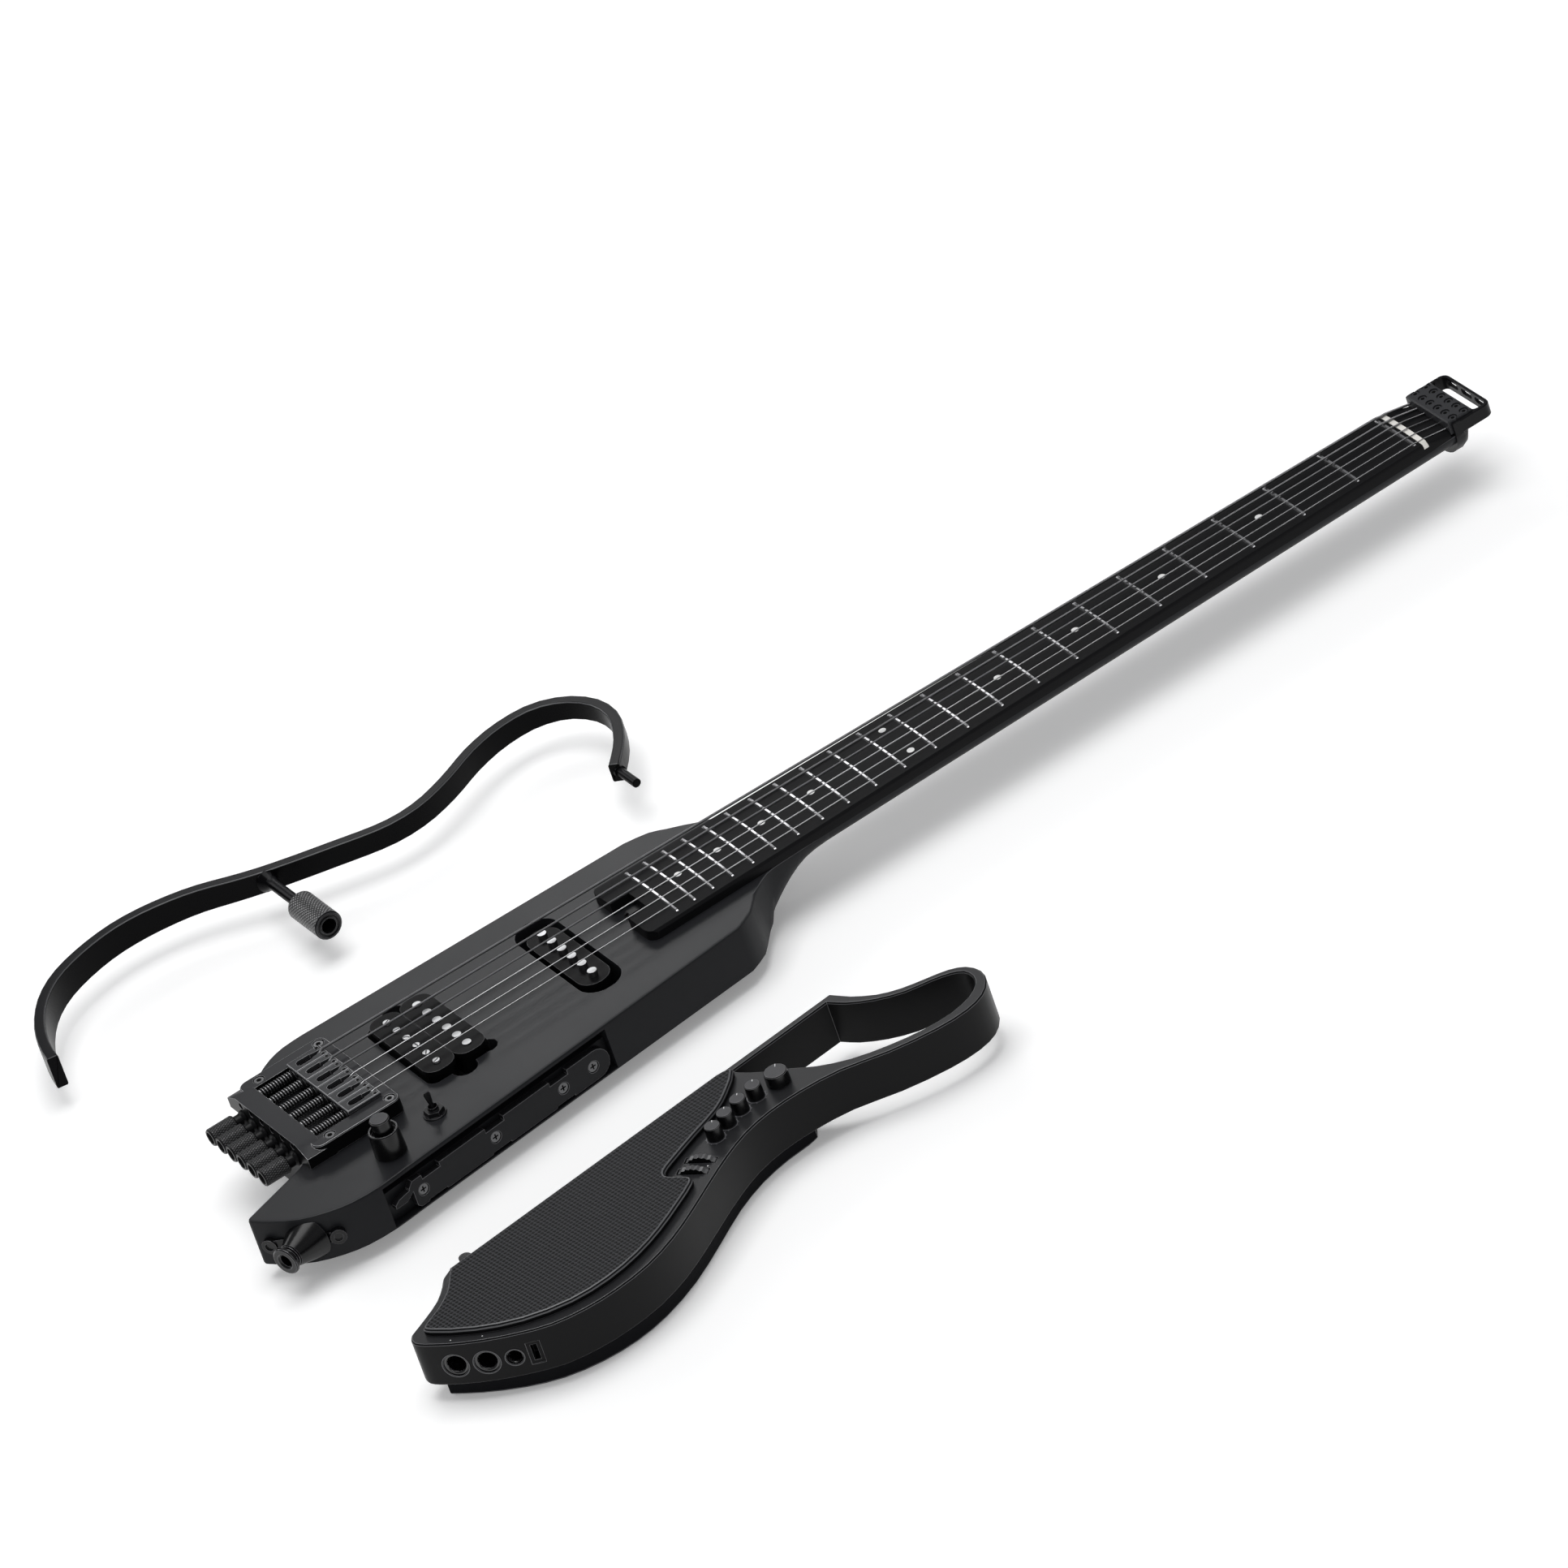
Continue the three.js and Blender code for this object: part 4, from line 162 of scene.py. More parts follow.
def on_grip(face: Face, axis: int, span: Pair) -> bool:
    """Whether a face looks away from an axis, by its number, and lies in a span along it."""
    outward = math.hypot(*(face.normal[i] for i in range(3) if i != axis)) > STRAIGHT
    return outward and span[0] < middle_of(face)[axis] < span[1]


def add_node(tree: Tree, kind: str, inputs: dict, **settings: object) -> Outputs:
    """Add a shader node.

    Args:
        tree: tree to add to.
        kind: type of the node, after the word ShaderNode.
        inputs: socket or value for each input, by its name or number.
        **settings: properties of the node, which are set before its inputs.

    Returns:
        The node's outputs.
    """
    made = tree.nodes.new(f"ShaderNode{kind}")
    for name, value in settings.items():
        setattr(made, name, value)
    for key, value in inputs.items():
        if isinstance(value, Socket):
            tree.links.new(value, made.inputs[key])
        else:
            made.inputs[key].default_value = value
    return made.outputs


def add_math(tree: Tree, operation: str, *values: Socket | float) -> Socket:
    """Add a Math node on sockets and numbers and give its output."""
    return add_node(tree, "Math", dict(enumerate(values)), operation=operation)[0]


def add_blend(tree: Tree, factor: Socket, first: object, second: object) -> Socket:
    """Add a Mix node from a first to a second colour and give its output."""
    inputs = {0: factor, MIX_FIRST: first, MIX_SECOND: second}
    return add_node(tree, "Mix", inputs, data_type="RGBA")[MIX_RESULT]


def add_object(name: str, data: bpy.types.ID) -> bpy.types.Object:
    """Put a mesh, lamp or camera into the scene and give its object."""
    bpy.context.scene.collection.objects.link(made := bpy.data.objects.new(name, data))
    return made


class ShaderGroups:
    """Shader effects that several finishes share, each built once."""

    GRAIN_AMOUNT = 0.6
    ROUGHNESS_SPREAD = 0.08
    CLOUD_SCALE = 14.0
    GRAIN_DETAIL = 3
    CLOUD_DETAIL = 2
    HOLE_SHARE = 0.38
    HOLE_BLUR = 0.04
    RIM_SHARE = 0.1
    RIM_END = 0.66
    CREST_POWER = 0.7
    KNURL_TURNS = 24.0
    KNURL_VALLEY = 0.04
    KNURL_CREST = 0.34

    @staticmethod
    def _open(name: str, inputs: dict[str, str | float], *outputs: str) -> tuple[Tree, Outputs]:
        """Make an empty group with its sockets.

        Args:
            name: name of the group.
            inputs: socket type of each input, or the first value of a number.
            *outputs: names of its outputs; one named Color is a colour, the others are numbers.

        Returns:
            The group's tree, and the sockets that its inputs arrive at.
        """
        tree = bpy.data.node_groups.new(name, "ShaderNodeTree")
        for label, kind in inputs.items():
            known = isinstance(kind, float)
            socket = tree.interface.new_socket(
                name=label, in_out="INPUT", socket_type=FLOAT if known else kind)
            if known:
                socket.default_value = kind
        for label in outputs:
            tree.interface.new_socket(
                name=label, in_out="OUTPUT", socket_type=COLOR if label == "Color" else FLOAT)
        tree.nodes.new("NodeGroupOutput").name = "out"
        return tree, tree.nodes.new("NodeGroupInput").outputs

    @staticmethod
    def _close(tree: Tree, **results: Socket) -> Tree:
        """Lead results to a group's outputs of the same names.

        Args:
            tree: the group's tree.
            **results: socket for each output.

        Returns:
            The tree.
        """
        for name, result in results.items():
            tree.links.new(result, tree.nodes["out"].inputs[name])
        return tree

    @cached_property
    def grain(self) -> Tree:
        """Group that breaks up a colour and a roughness with fine grain and faint clouds.

        Returns:
            The tree.
        """
        tree, start = self._open(
            "surface_grain",
            {"Vector": VECTOR, "Color": COLOR, "Second Color": COLOR, "Scale": FLOAT,
             "Amount": self.GRAIN_AMOUNT, "Roughness": FLOAT, "Spread": self.ROUGHNESS_SPREAD,
             "Cloud Scale": self.CLOUD_SCALE},
            "Color", "Roughness", "Height")
        fine, cloud = (
            add_node(tree, "TexNoise", {
                "Vector": start["Vector"], "Scale": start[scale], "Detail": detail})["Fac"]
            for scale, detail in (("Scale", self.GRAIN_DETAIL), ("Cloud Scale", self.CLOUD_DETAIL)))
        share = add_math(tree, "MULTIPLY", fine, start["Amount"])
        centred = add_math(tree, "SUBTRACT", add_math(tree, "ADD", fine, cloud), 1.0)
        return self._close(
            tree, Color=add_blend(tree, share, start["Color"], start["Second Color"]), Height=fine,
            Roughness=add_math(tree, "MULTIPLY_ADD", centred, start["Spread"], start["Roughness"]))

    @cached_property
    def perforation(self) -> Tree:
        """Group that gives round holes on a square lattice, each with a softly pressed rim.

        Returns:
            The tree.
        """
        tree, start = self._open(
            "perforation", {"Vector": VECTOR, "Pitch": FLOAT, "Hole Share": self.HOLE_SHARE},
            "Hole", "Height")
        parts = add_node(tree, "SeparateXYZ", {0: start["Vector"]})
        squares = []
        for name in ("X", "Y"):
            cell = add_math(tree, "FRACT", add_math(tree, "DIVIDE", parts[name], start["Pitch"]))
            away = add_math(tree, "SUBTRACT", cell, 0.5)
            squares.append(add_math(tree, "MULTIPLY", away, away))
        radius = add_math(tree, "SQRT", add_math(tree, "ADD", *squares))
        share = start["Hole Share"]
        hole, dome = (
            add_node(tree, "MapRange", {
                "Value": radius, "From Min": add_math(tree, "SUBTRACT", share, before), **values},
                interpolation_type="SMOOTHSTEP")[0]
            for before, values in (
                (self.HOLE_BLUR, {"From Max": share, "To Min": 1, "To Max": 0}),
                (self.RIM_SHARE, {"From Max": self.RIM_END})))
        return self._close(tree, Hole=hole, Height=dome)

    @cached_property
    def thread(self) -> Tree:
        """Group that gives the crests of a screw thread or of a wound wire along x.

        Returns:
            The tree.
        """
        tree, start = self._open(
            "thread_crest", {"Vector": VECTOR, "Pitch": FLOAT}, "Crest", "Height")
        along = add_node(tree, "SeparateXYZ", {0: start["Vector"]})["X"]
        wave = add_math(tree, "PINGPONG", add_math(tree, "DIVIDE", along, start["Pitch"]), 0.5)
        height = add_math(tree, "MULTIPLY", wave, 2.0)
        crest = add_math(tree, "POWER", height, self.CREST_POWER)
        return self._close(tree, Crest=crest, Height=height)

    @cached_property
    def knurl(self) -> Tree:
        """Group that gives the diamonds of a knurl round the x axis of its vector.

        Returns:
            The tree.
        """
        tree, start = self._open(
            "diamond_knurl", {"Vector": VECTOR, "Turns": self.KNURL_TURNS, "Pitch": FLOAT},
            "Crest", "Height")
        parts = add_node(tree, "SeparateXYZ", {0: start["Vector"]})
        angle = add_math(tree, "ARCTAN2", parts["Y"], parts["Z"])
        share = add_math(tree, "DIVIDE", angle, math.tau)
        turned = add_math(tree, "MULTIPLY", share, start["Turns"])
        along = add_math(tree, "DIVIDE", parts["X"], start["Pitch"])
        left, right = (
            add_math(tree, "PINGPONG", add_math(tree, operation, turned, along), 0.5)
            for operation in ("ADD", "SUBTRACT"))
        crest = add_node(tree, "MapRange", {
            "Value": add_math(tree, "MINIMUM", left, right), "From Min": self.KNURL_VALLEY,
            "From Max": self.KNURL_CREST})[0]
        return self._close(tree, Crest=crest, Height=crest)


GROUPS = ShaderGroups()


@dataclass(frozen=True)
class Finish:
    """One finish of the guitar and how its surface is broken up."""

    name: str
    slot: str
    color: Triple
    second: Triple
    roughness: float
    specular: float = 0.5
    metallic: float = 0.0
    grain_scale: float = 2600.0
    bump: float = 0.00002
    stretch: Triple = (1.0, 1.0, 1.0)
    pattern: Pattern = Pattern.PLAIN
    pitch: float = 0.001
    relief: float = 0.0002
    # Colour laid into the pattern's holes and valleys as painted shade.
    hollow_shade: Triple = (0.002, 0.002, 0.002)

    @cache
    def material(self) -> bpy.types.Material:
        """Build the finish, once.

        Returns:
            The material.
        """
        made = bpy.data.materials.new(self.name)
        made.use_nodes = True
        tree = made.node_tree
        tree.nodes.clear()
        place = add_node(tree, "TexCoord", {})["Object"]
        stretched = add_node(tree, "Mapping", {"Vector": place, "Scale": self.stretch})[0]
        grain = add_node(tree, "Group", {
            "Vector": stretched, "Color": (*self.color, 1), "Second Color": (*self.second, 1),
            "Scale": self.grain_scale, "Roughness": self.roughness}, node_tree=GROUPS.grain)
        color = grain["Color"]
        normal = add_node(tree, "Bump", {
            "Strength": GRAIN_STRENGTH, "Distance": self.bump, "Height": grain["Height"]})[0]
        # The pattern lays a darker colour into holes and valleys as painted shade: the holes of a
        # perforated sheet and the valleys between crests of threads, wound wire and knurls.
        if self.pattern is not Pattern.PLAIN:
            mask, height = self._relief(tree, place)
            colors = [color, (*self.hollow_shade, 1)]
            if self.pattern is not Pattern.PERFORATED:
                colors.reverse()
            color = add_blend(tree, mask, *colors)
            normal = add_node(tree, "Bump", {
                "Strength": 1.0, "Distance": self.relief, "Height": height, "Normal": normal})[0]
        shader = add_node(tree, "BsdfPrincipled", {
            "Base Color": color, "Roughness": grain["Roughness"], "Normal": normal,
            "Metallic": self.metallic, "Specular IOR Level": self.specular})
        add_node(tree, "OutputMaterial", {"Surface": shader[0]})
        return made

    def _relief(self, tree: Tree, place: Socket) -> tuple[Socket, Socket]:
        """Add the nodes of the finish's pattern.

        Args:
            tree: the material's tree.
            place: the object coordinates.

        Returns:
            The mask and the height of the pattern.
        """
        mask = "Crest"
        if self.pattern is Pattern.PERFORATED:
            group, mask = GROUPS.perforation, "Hole"
            place = add_node(tree, "Mapping", {"Vector": place, "Rotation": (0, 0, -DOCK_ANGLE)})[0]
        elif self.pattern is Pattern.THREADED:
            group = GROUPS.thread
        else:
            group, place = GROUPS.knurl, self._round_axis(tree, place)
        made = add_node(tree, "Group", {"Vector": place, "Pitch": self.pitch}, node_tree=group)
        return made[mask], made["Height"]

    def _round_axis(self, tree: Tree, place: Socket) -> Socket:
        """Bring the axis of a knurled piece to the x axis through zero.

        Args:
            tree: the material's tree.
            place: the object coordinates.

        Returns:
            The moved coordinates.
        """
        if self.pattern is Pattern.KNURLED_TUNER:
            pitch = Bridge.PITCH * MM
            for operation, values in (
                    ("SUBTRACT", {1: (0, ORIGIN.y, ORIGIN.z + Bridge.AXIS_Z * MM)}),
                    ("WRAP", {1: (1, pitch, 1), 2: (-1, 0, -1)}),
                    ("SUBTRACT", {1: (0, pitch / 2, 0)})):
                place = add_node(tree, "VectorMath", {0: place, **values}, operation=operation)[0]
            return place
        parts = add_node(tree, "SeparateXYZ", {0: place})
        nut = at(UpperFrame.POST_X, 0, UpperFrame.AXIS_Z)
        return add_node(tree, "CombineXYZ", {
            "X": parts["Y"], "Y": add_math(tree, "SUBTRACT", parts["X"], nut.x),
            "Z": add_math(tree, "SUBTRACT", parts["Z"], nut.z)})[0]


# Each finish: its name and slot, its two colours, its roughness and its specular level.
BODY = Finish(
    "satin_body", "body_finish", (0.0145, 0.015, 0.0168), (0.0095, 0.01, 0.0115), 0.42, 0.12,
    grain_scale=5200)
# Painted shade: the body's top faces take a darker copy of its satin finish than its walls.
BODY_TOP_SHADE = Finish(
    "satin_face_painted_shade", "body_finish", (0.0115, 0.012, 0.0138), (0.0075, 0.008, 0.0095), 0.38, 0.3,
    grain_scale=5200)
# Painted highlight along the rounded outline of the body's face.
BODY_EDGE_HIGHLIGHT = Finish(
    "body_edge_highlight", "body_finish", (0.05, 0.051, 0.055), (0.035, 0.036, 0.039), 0.34, 0.4,
    grain_scale=5200)
BOARD = Finish(
    "dark_board", "board", (0.008, 0.008, 0.0088), (0.004, 0.004, 0.0044), 0.46, 0.08,
    grain_scale=1800, stretch=(0.05, 1, 1), bump=0.00003)
FRET = Finish(
    "nickel_fret", "steel", (0.46, 0.46, 0.47), (0.36, 0.36, 0.37), 0.24, metallic=1,
    grain_scale=3000, bump=0.000004)
DOT = Finish("white_inlay", "bone", (0.85, 0.85, 0.84), (0.7, 0.7, 0.7), 0.35, grain_scale=1500)
BONE = Finish("white_guide", "bone", (0.82, 0.8, 0.76), (0.68, 0.66, 0.61), 0.38, grain_scale=900)
STEEL = Finish(
    "bright_steel", "steel", (0.42, 0.425, 0.43), (0.34, 0.343, 0.348), 0.3, metallic=1,
    grain_scale=2400)
SCREW_STEEL = Finish(
    "screw_steel", "steel", (0.13, 0.131, 0.134), (0.09, 0.09, 0.093), 0.3, metallic=0.9,
    grain_scale=2400)
BLACK_METAL = Finish(
    "black_plating", "black_metal", (0.006, 0.006, 0.0068), (0.003, 0.003, 0.0034), 0.32, 0.16)
# Painted highlight on the rounded edges of black parts.
BLACK_RIM_HIGHLIGHT = Finish(
    "black_plating_edge_highlight", "black_metal", (0.1, 0.1, 0.105), (0.07, 0.07, 0.075), 0.26, metallic=0.7)
GREY_METAL = Finish(
    "grey_plating", "grey_metal", (0.034, 0.0345, 0.0375), (0.024, 0.0244, 0.0267), 0.38, 0.2)
DECK = Finish(
    "bridge_deck_plating", "grey_metal", (0.024, 0.0243, 0.0268), (0.017, 0.0172, 0.019), 0.38,
    0.18)
# Painted shade: the bridge's walls take a darker copy of its plating.
DECK_WALL_SHADE = Finish(
    "bridge_wall_painted_shade", "grey_metal", (0.004, 0.004, 0.0045), (0.002, 0.002, 0.0023), 0.34, 0.14)
# Painted highlight on the rounded edges of the bridge and the saddle plates.
DECK_RIM_HIGHLIGHT = Finish(
    "bridge_edge_highlight", "grey_metal", (0.45, 0.452, 0.46), (0.34, 0.342, 0.35), 0.3, metallic=0.5)
# The thread's valleys take painted shade.
THREAD = Finish(
    "black_thread", "grey_metal", (0.016, 0.016, 0.0175), (0.009, 0.009, 0.01), 0.3, metallic=0.3,
    pattern=Pattern.THREADED, pitch=0.0009, relief=0.0004)
SPRING = Finish(
    "black_spring", "grey_metal", (0.22, 0.22, 0.225), (0.15, 0.15, 0.154), 0.26, metallic=0.9)
# Knurls: the crests are painted much lighter than the black plating as a highlight, and the valleys
# take painted shade.
KNURL = Finish(
    "knurled_tuner_painted_glints", "black_metal", (0.1, 0.1, 0.104), (0.07, 0.07, 0.073), 0.34, metallic=0.3,
    pattern=Pattern.KNURLED_TUNER, pitch=0.0026, relief=0.0004)
KNURL_NUT_GLINTS = Finish(
    "knurled_thumb_nut_painted_glints", "black_metal", (0.26, 0.26, 0.265), (0.18, 0.18, 0.184), 0.36,
    metallic=0.3, pattern=Pattern.KNURLED_NUT, pitch=0.0022, relief=0.0004)
COIL = Finish(
    "coil_satin", "coil_plastic", (0.004, 0.004, 0.0045), (0.002, 0.002, 0.0023), 0.34, 0.05)
# Painted highlight round the faces of the coils.
COIL_EDGE_HIGHLIGHT = Finish(
    "coil_edge_highlight", "coil_plastic", (0.05, 0.05, 0.053), (0.035, 0.035, 0.037), 0.24, 0.5)
WIRE = Finish("plain_wire", "wire", (0.5, 0.5, 0.51), (0.38, 0.38, 0.39), 0.27, metallic=1)
# The grooves between the windings take painted shade.
WOUND = Finish(
    "wound_wire", "wire", (0.42, 0.42, 0.43), (0.3, 0.3, 0.31), 0.34, metallic=1,
    pattern=Pattern.THREADED, pitch=0.0004, relief=0.0001, hollow_shade=(0.08, 0.08, 0.08))
RAIL = Finish(
    "rail_satin", "rail_plastic", (0.017, 0.0173, 0.019), (0.011, 0.0112, 0.0125), 0.42, 0.12)
# Painted highlight on the rounded edges of the rail.
RAIL_EDGE_HIGHLIGHT = Finish("rail_edge_highlight", "rail_plastic", (0.14, 0.14, 0.147), (0.1, 0.1, 0.105), 0.36, 0.4)
BLACK = Finish(
    "black_moulding", "black_plastic", (0.0035, 0.0035, 0.004), (0.002, 0.002, 0.0022), 0.22, 0.3)
KNOB = Finish(
    "knob_gloss", "knob_plastic", (0.003, 0.003, 0.0034), (0.0015, 0.0015, 0.0017), 0.22, 0.4)
# Painted highlight on the rounded edges of knobs and on thumbwheel teeth; knob caps are painted
# lighter than their walls.
KNOB_EDGE_HIGHLIGHT = Finish("knob_edge_highlight", "knob_plastic", (0.09, 0.09, 0.093), (0.06, 0.06, 0.062), 0.3, 0.5)
KNOB_TOP_LIGHT = Finish("knob_cap_painted_light", "knob_plastic", (0.055, 0.055, 0.059), (0.04, 0.04, 0.043), 0.36, 0.2)
POINTER = Finish("light_mark", "bone", (0.75, 0.75, 0.75), (0.62, 0.62, 0.62), 0.45)
TICK = Finish("grey_mark", "bone", (0.16, 0.16, 0.17), (0.11, 0.11, 0.12), 0.5)
FRAME = Finish(
    "frame_wall", "frame_plastic", (0.0025, 0.0025, 0.0029), (0.0012, 0.0012, 0.0015), 0.28, 0.05)
# Painted light: the frame's top takes a lighter copy of its finish than its walls. Its long edges
# take a painted highlight.
FRAME_TOP_LIGHT = Finish(
    "frame_top_painted_light", "frame_plastic", (0.01, 0.0101, 0.0114), (0.007, 0.0071, 0.008), 0.34, 0.12)
FRAME_RIM_HIGHLIGHT = Finish(
    "frame_rim_highlight", "frame_plastic", (0.08, 0.081, 0.085), (0.055, 0.056, 0.059), 0.28, 0.5)
HOUSING_TOP = Finish(
    "housing_face", "housing_plastic", (0.014, 0.0143, 0.016), (0.0098, 0.0101, 0.0113), 0.4, 0.28,
    grain_scale=5000)
# Painted shade: the housing's walls take a darker copy of its finish.
HOUSING_WALL_SHADE = Finish(
    "housing_wall_painted_shade", "housing_plastic", (0.0035, 0.0035, 0.004), (0.002, 0.002, 0.0023), 0.34, 0.13,
    grain_scale=5000)
# Painted highlight on the rounded edges of the housing, the pad's lip and the socket outlines.
HOUSING_EDGE_HIGHLIGHT = Finish(
    "housing_edge_highlight", "housing_plastic", (0.12, 0.121, 0.127), (0.085, 0.086, 0.09), 0.32, 0.5)
# The grille's holes take painted shade, its walls a darker copy of its finish as painted shade and
# its rim a painted highlight.
GRILLE = Finish(
    "perforated_sheet", "grille_metal", (0.055, 0.0555, 0.0595), (0.041, 0.0415, 0.0445), 0.42, 0.1,
    pattern=Pattern.PERFORATED, pitch=0.00225, relief=0.0005)
GRILLE_WALL_SHADE = Finish(
    "grille_wall_painted_shade", "grille_metal", (0.004, 0.004, 0.0045), (0.002, 0.002, 0.0024), 0.34, 0.12)
GRILLE_RIM_HIGHLIGHT = Finish(
    "grille_rim_highlight", "grille_metal", (0.1, 0.101, 0.106), (0.07, 0.071, 0.075), 0.3, 0.5)
PAD = Finish(
    "speckled_pad", "pad_rubber", (0.008, 0.0083, 0.0098), (0.0025, 0.0025, 0.003), 0.6, 0.05,
    grain_scale=3500, bump=0.00008)
CONE = Finish("black_cone", "cone_paper", (0.012, 0.012, 0.013), (0.006, 0.006, 0.006), 0.7)
SOCKET = Finish(
    "socket_gloss", "knob_plastic", (0.004, 0.004, 0.0045), (0.002, 0.002, 0.0022), 0.1, 0.8)
# Painted shade laid into recesses: hex sockets, pole screw slots, screw crosses and the rail's
# screw seats.
RECESS_SHADE = Finish(
    "painted_recess_shade", "black_plastic", (0.001, 0.001, 0.001), (0.0005, 0.0005, 0.0005), 0.7, 0.05)
FLOOR = Finish(
    "pale_floor", "bone", (0.93, 0.93, 0.93), (0.91, 0.91, 0.91), 0.9, 0.05, grain_scale=3)


@dataclass
class Builder:
    """Hands meshes over to the frame as finished pieces."""

    nodes: dict[str, bpy.types.Object]
    pieces: list[str] = field(default_factory=list)

    def finish(self, name: str, mesh: Mesh, finishes: Sequence[Finish], body: str = "guitar",
               node: str | None = None, smooth: float = SMOOTH, weighted: bool = True) -> None:
        """Make an object of a mesh, dress it and let it ride on its body.

        Args:
            name: name of the piece.
            mesh: its mesh, which is used up.
            finishes: its finishes in the order of the faces' indices.
            body: body that it rides on.
            node: node that it stands for, if any.
            smooth: largest angle in degrees that is shaded round.
            weighted: whether large faces keep their flat shading.
        """
        for face in mesh.faces:
            face.smooth = True
        for edge in mesh.edges:
            if len(edge.link_faces) == 2:
                edge.smooth = edge.calc_face_angle(math.pi) < math.radians(smooth)
        data = bpy.data.meshes.new(name)
        mesh.to_mesh(data)
        mesh.free()
        made = add_object(name, data)
        for entry in finishes:
            data.materials.append(entry.material())
        if weighted:
            keeper = made.modifiers.new("flat faces", "WEIGHTED_NORMAL")
            keeper.keep_sharp = True
            keeper.weight = FACE_WEIGHT
        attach(made, body)
        if node:
            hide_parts(node)
        self.pieces.append(name)
        LOG.info("piece %s on %s", name, body)

    def dress(self, node: str, finishes: Sequence[Finish], rule: Rule | None = None, *,
              body: str = "guitar", edge: float = 0.0, among: EdgeRule | None = None,
              smooth: float = SMOOTH, clamp: bool = True,
              shape: Callable[[Mesh], None] | None = None) -> None:
        """Stand a smoothly shaded copy in for a node.

        Args:
            node: name of the node.
            finishes: finishes of the copy; its rounded edges take the last one.
            rule: gives the finish index of a face; the first finish is used without it.
            body: body that the node belongs to.
            edge: width that sharp edges are rounded by.
            among: says which sharp edges are rounded; all are without it.
            smooth: largest angle in degrees that is shaded round.
            clamp: whether short edges hold the rounding back.
            shape: changes the copy before it is dressed.
        """
        mesh = bmesh.new()
        mesh.from_mesh(self.nodes[node].data)
        bmesh.ops.remove_doubles(mesh, verts=mesh.verts, dist=MERGE_WIDTH * MM)
        bmesh.ops.dissolve_limit(mesh, angle_limit=PLANAR, verts=mesh.verts, edges=mesh.edges)
        if shape:
            shape(mesh)
        if rule:
            for face in mesh.faces:
                face.material_index = rule(face)
        if edge:
            joined = [e for e in mesh.edges if len(e.link_faces) == 2 and (not among or among(e))]
            made = bmesh.ops.bevel(
                mesh, geom=[e for e in joined if e.calc_face_angle(0) > SHARP], offset=edge * MM,
                segments=EDGE_STEPS, profile=0.5, affect="EDGES", material=-1, clamp_overlap=clamp)
            # In most pieces the last finish is a lighter one: a painted highlight along the rounded
            # edges.
            for face in made["faces"]:
                face.material_index = len(finishes) - 1
        self.finish(f"{node}_dressed", mesh, finishes, body, node, smooth)


def disc(mesh: Mesh, centre: Vector, radius: float, height: float, axis: Vector = UP,
         sides: int = 24, top_share: float = 1.0) -> None:
    """Add a disc or frustum that stands on a place.

    Args:
        mesh: mesh to add to.
        centre: middle of its foot.
        radius: radius of its foot.
        height: its height along the axis.
        axis: direction that it stands in.
        sides: number of its sides.
        top_share: radius of its top as a share of its foot.
    """
    turn = UP.rotation_difference(axis).to_matrix().to_4x4()
    place = Matrix.Translation(centre + axis * height * MM / 2) @ turn
    bmesh.ops.create_cone(
        mesh, cap_ends=True, segments=sides, radius1=radius * MM, radius2=radius * MM * top_share,
        depth=height * MM, matrix=place)


def bar(mesh: Mesh, centre: Vector, size: Triple, turn: float = 0.0) -> None:
    """Add a block.

    Args:
        mesh: mesh to add to.
        centre: its middle.
        size: its sizes along x, y and z.
        turn: its turn about z in radians.
    """
    scale = Matrix.Diagonal((*(Vector(size) * MM), 1))
    bmesh.ops.create_cube(
        mesh, size=1.0, matrix=Matrix.Translation(centre) @ Matrix.Rotation(turn, 4, "Z") @ scale)


def around(radius: float, profile: Sequence[Pair]) -> list[Pair]:
    """Profile of a ring from one that is given by its distance from a radius."""
    return [(radius + away, height) for away, height in profile]


def ring(mesh: Mesh, centre: Vector, axis: Vector, profile: Sequence[Pair], steps: int) -> None:
    """Spin an open profile round an axis.

    Args:
        mesh: mesh to add to.
        centre: foot of the axis.
        axis: direction of the axis.
        profile: pairs of radius and height.
        steps: steps of the spin.
    """
    place = Matrix.Translation(centre) @ UP.rotation_difference(axis).to_matrix().to_4x4()
    verts = [mesh.verts.new(place @ Vector((x * MM, 0, z * MM))) for x, z in profile]
    edges = [mesh.edges.new(pair) for pair in zip(verts, verts[1:])]
    bmesh.ops.spin(
        mesh, geom=verts + edges, cent=centre, axis=axis, angle=math.tau, steps=steps,
        use_merge=True)
    bmesh.ops.recalc_face_normals(mesh, faces=mesh.faces)


def socket_screw(mesh: Mesh, centre: Vector, radius: float, height: float) -> None:
    """Add a socket screw head that looks up; its hex recess is painted shade, at finish index one.

    Args:
        mesh: mesh to add to.
        centre: middle of its foot.
        radius: radius of the head.
        height: height of the head.
    """
    top_share, hex_share, hex_sink, hex_height = 0.9, 0.5, 0.1, 0.14
    disc(mesh, centre, radius, height, top_share=top_share)
    before = set(mesh.faces)
    disc(mesh, centre + UP * (height - hex_sink) * MM, radius * hex_share, hex_height, sides=6)
    for face in set(mesh.faces) - before:
        face.material_index = 1


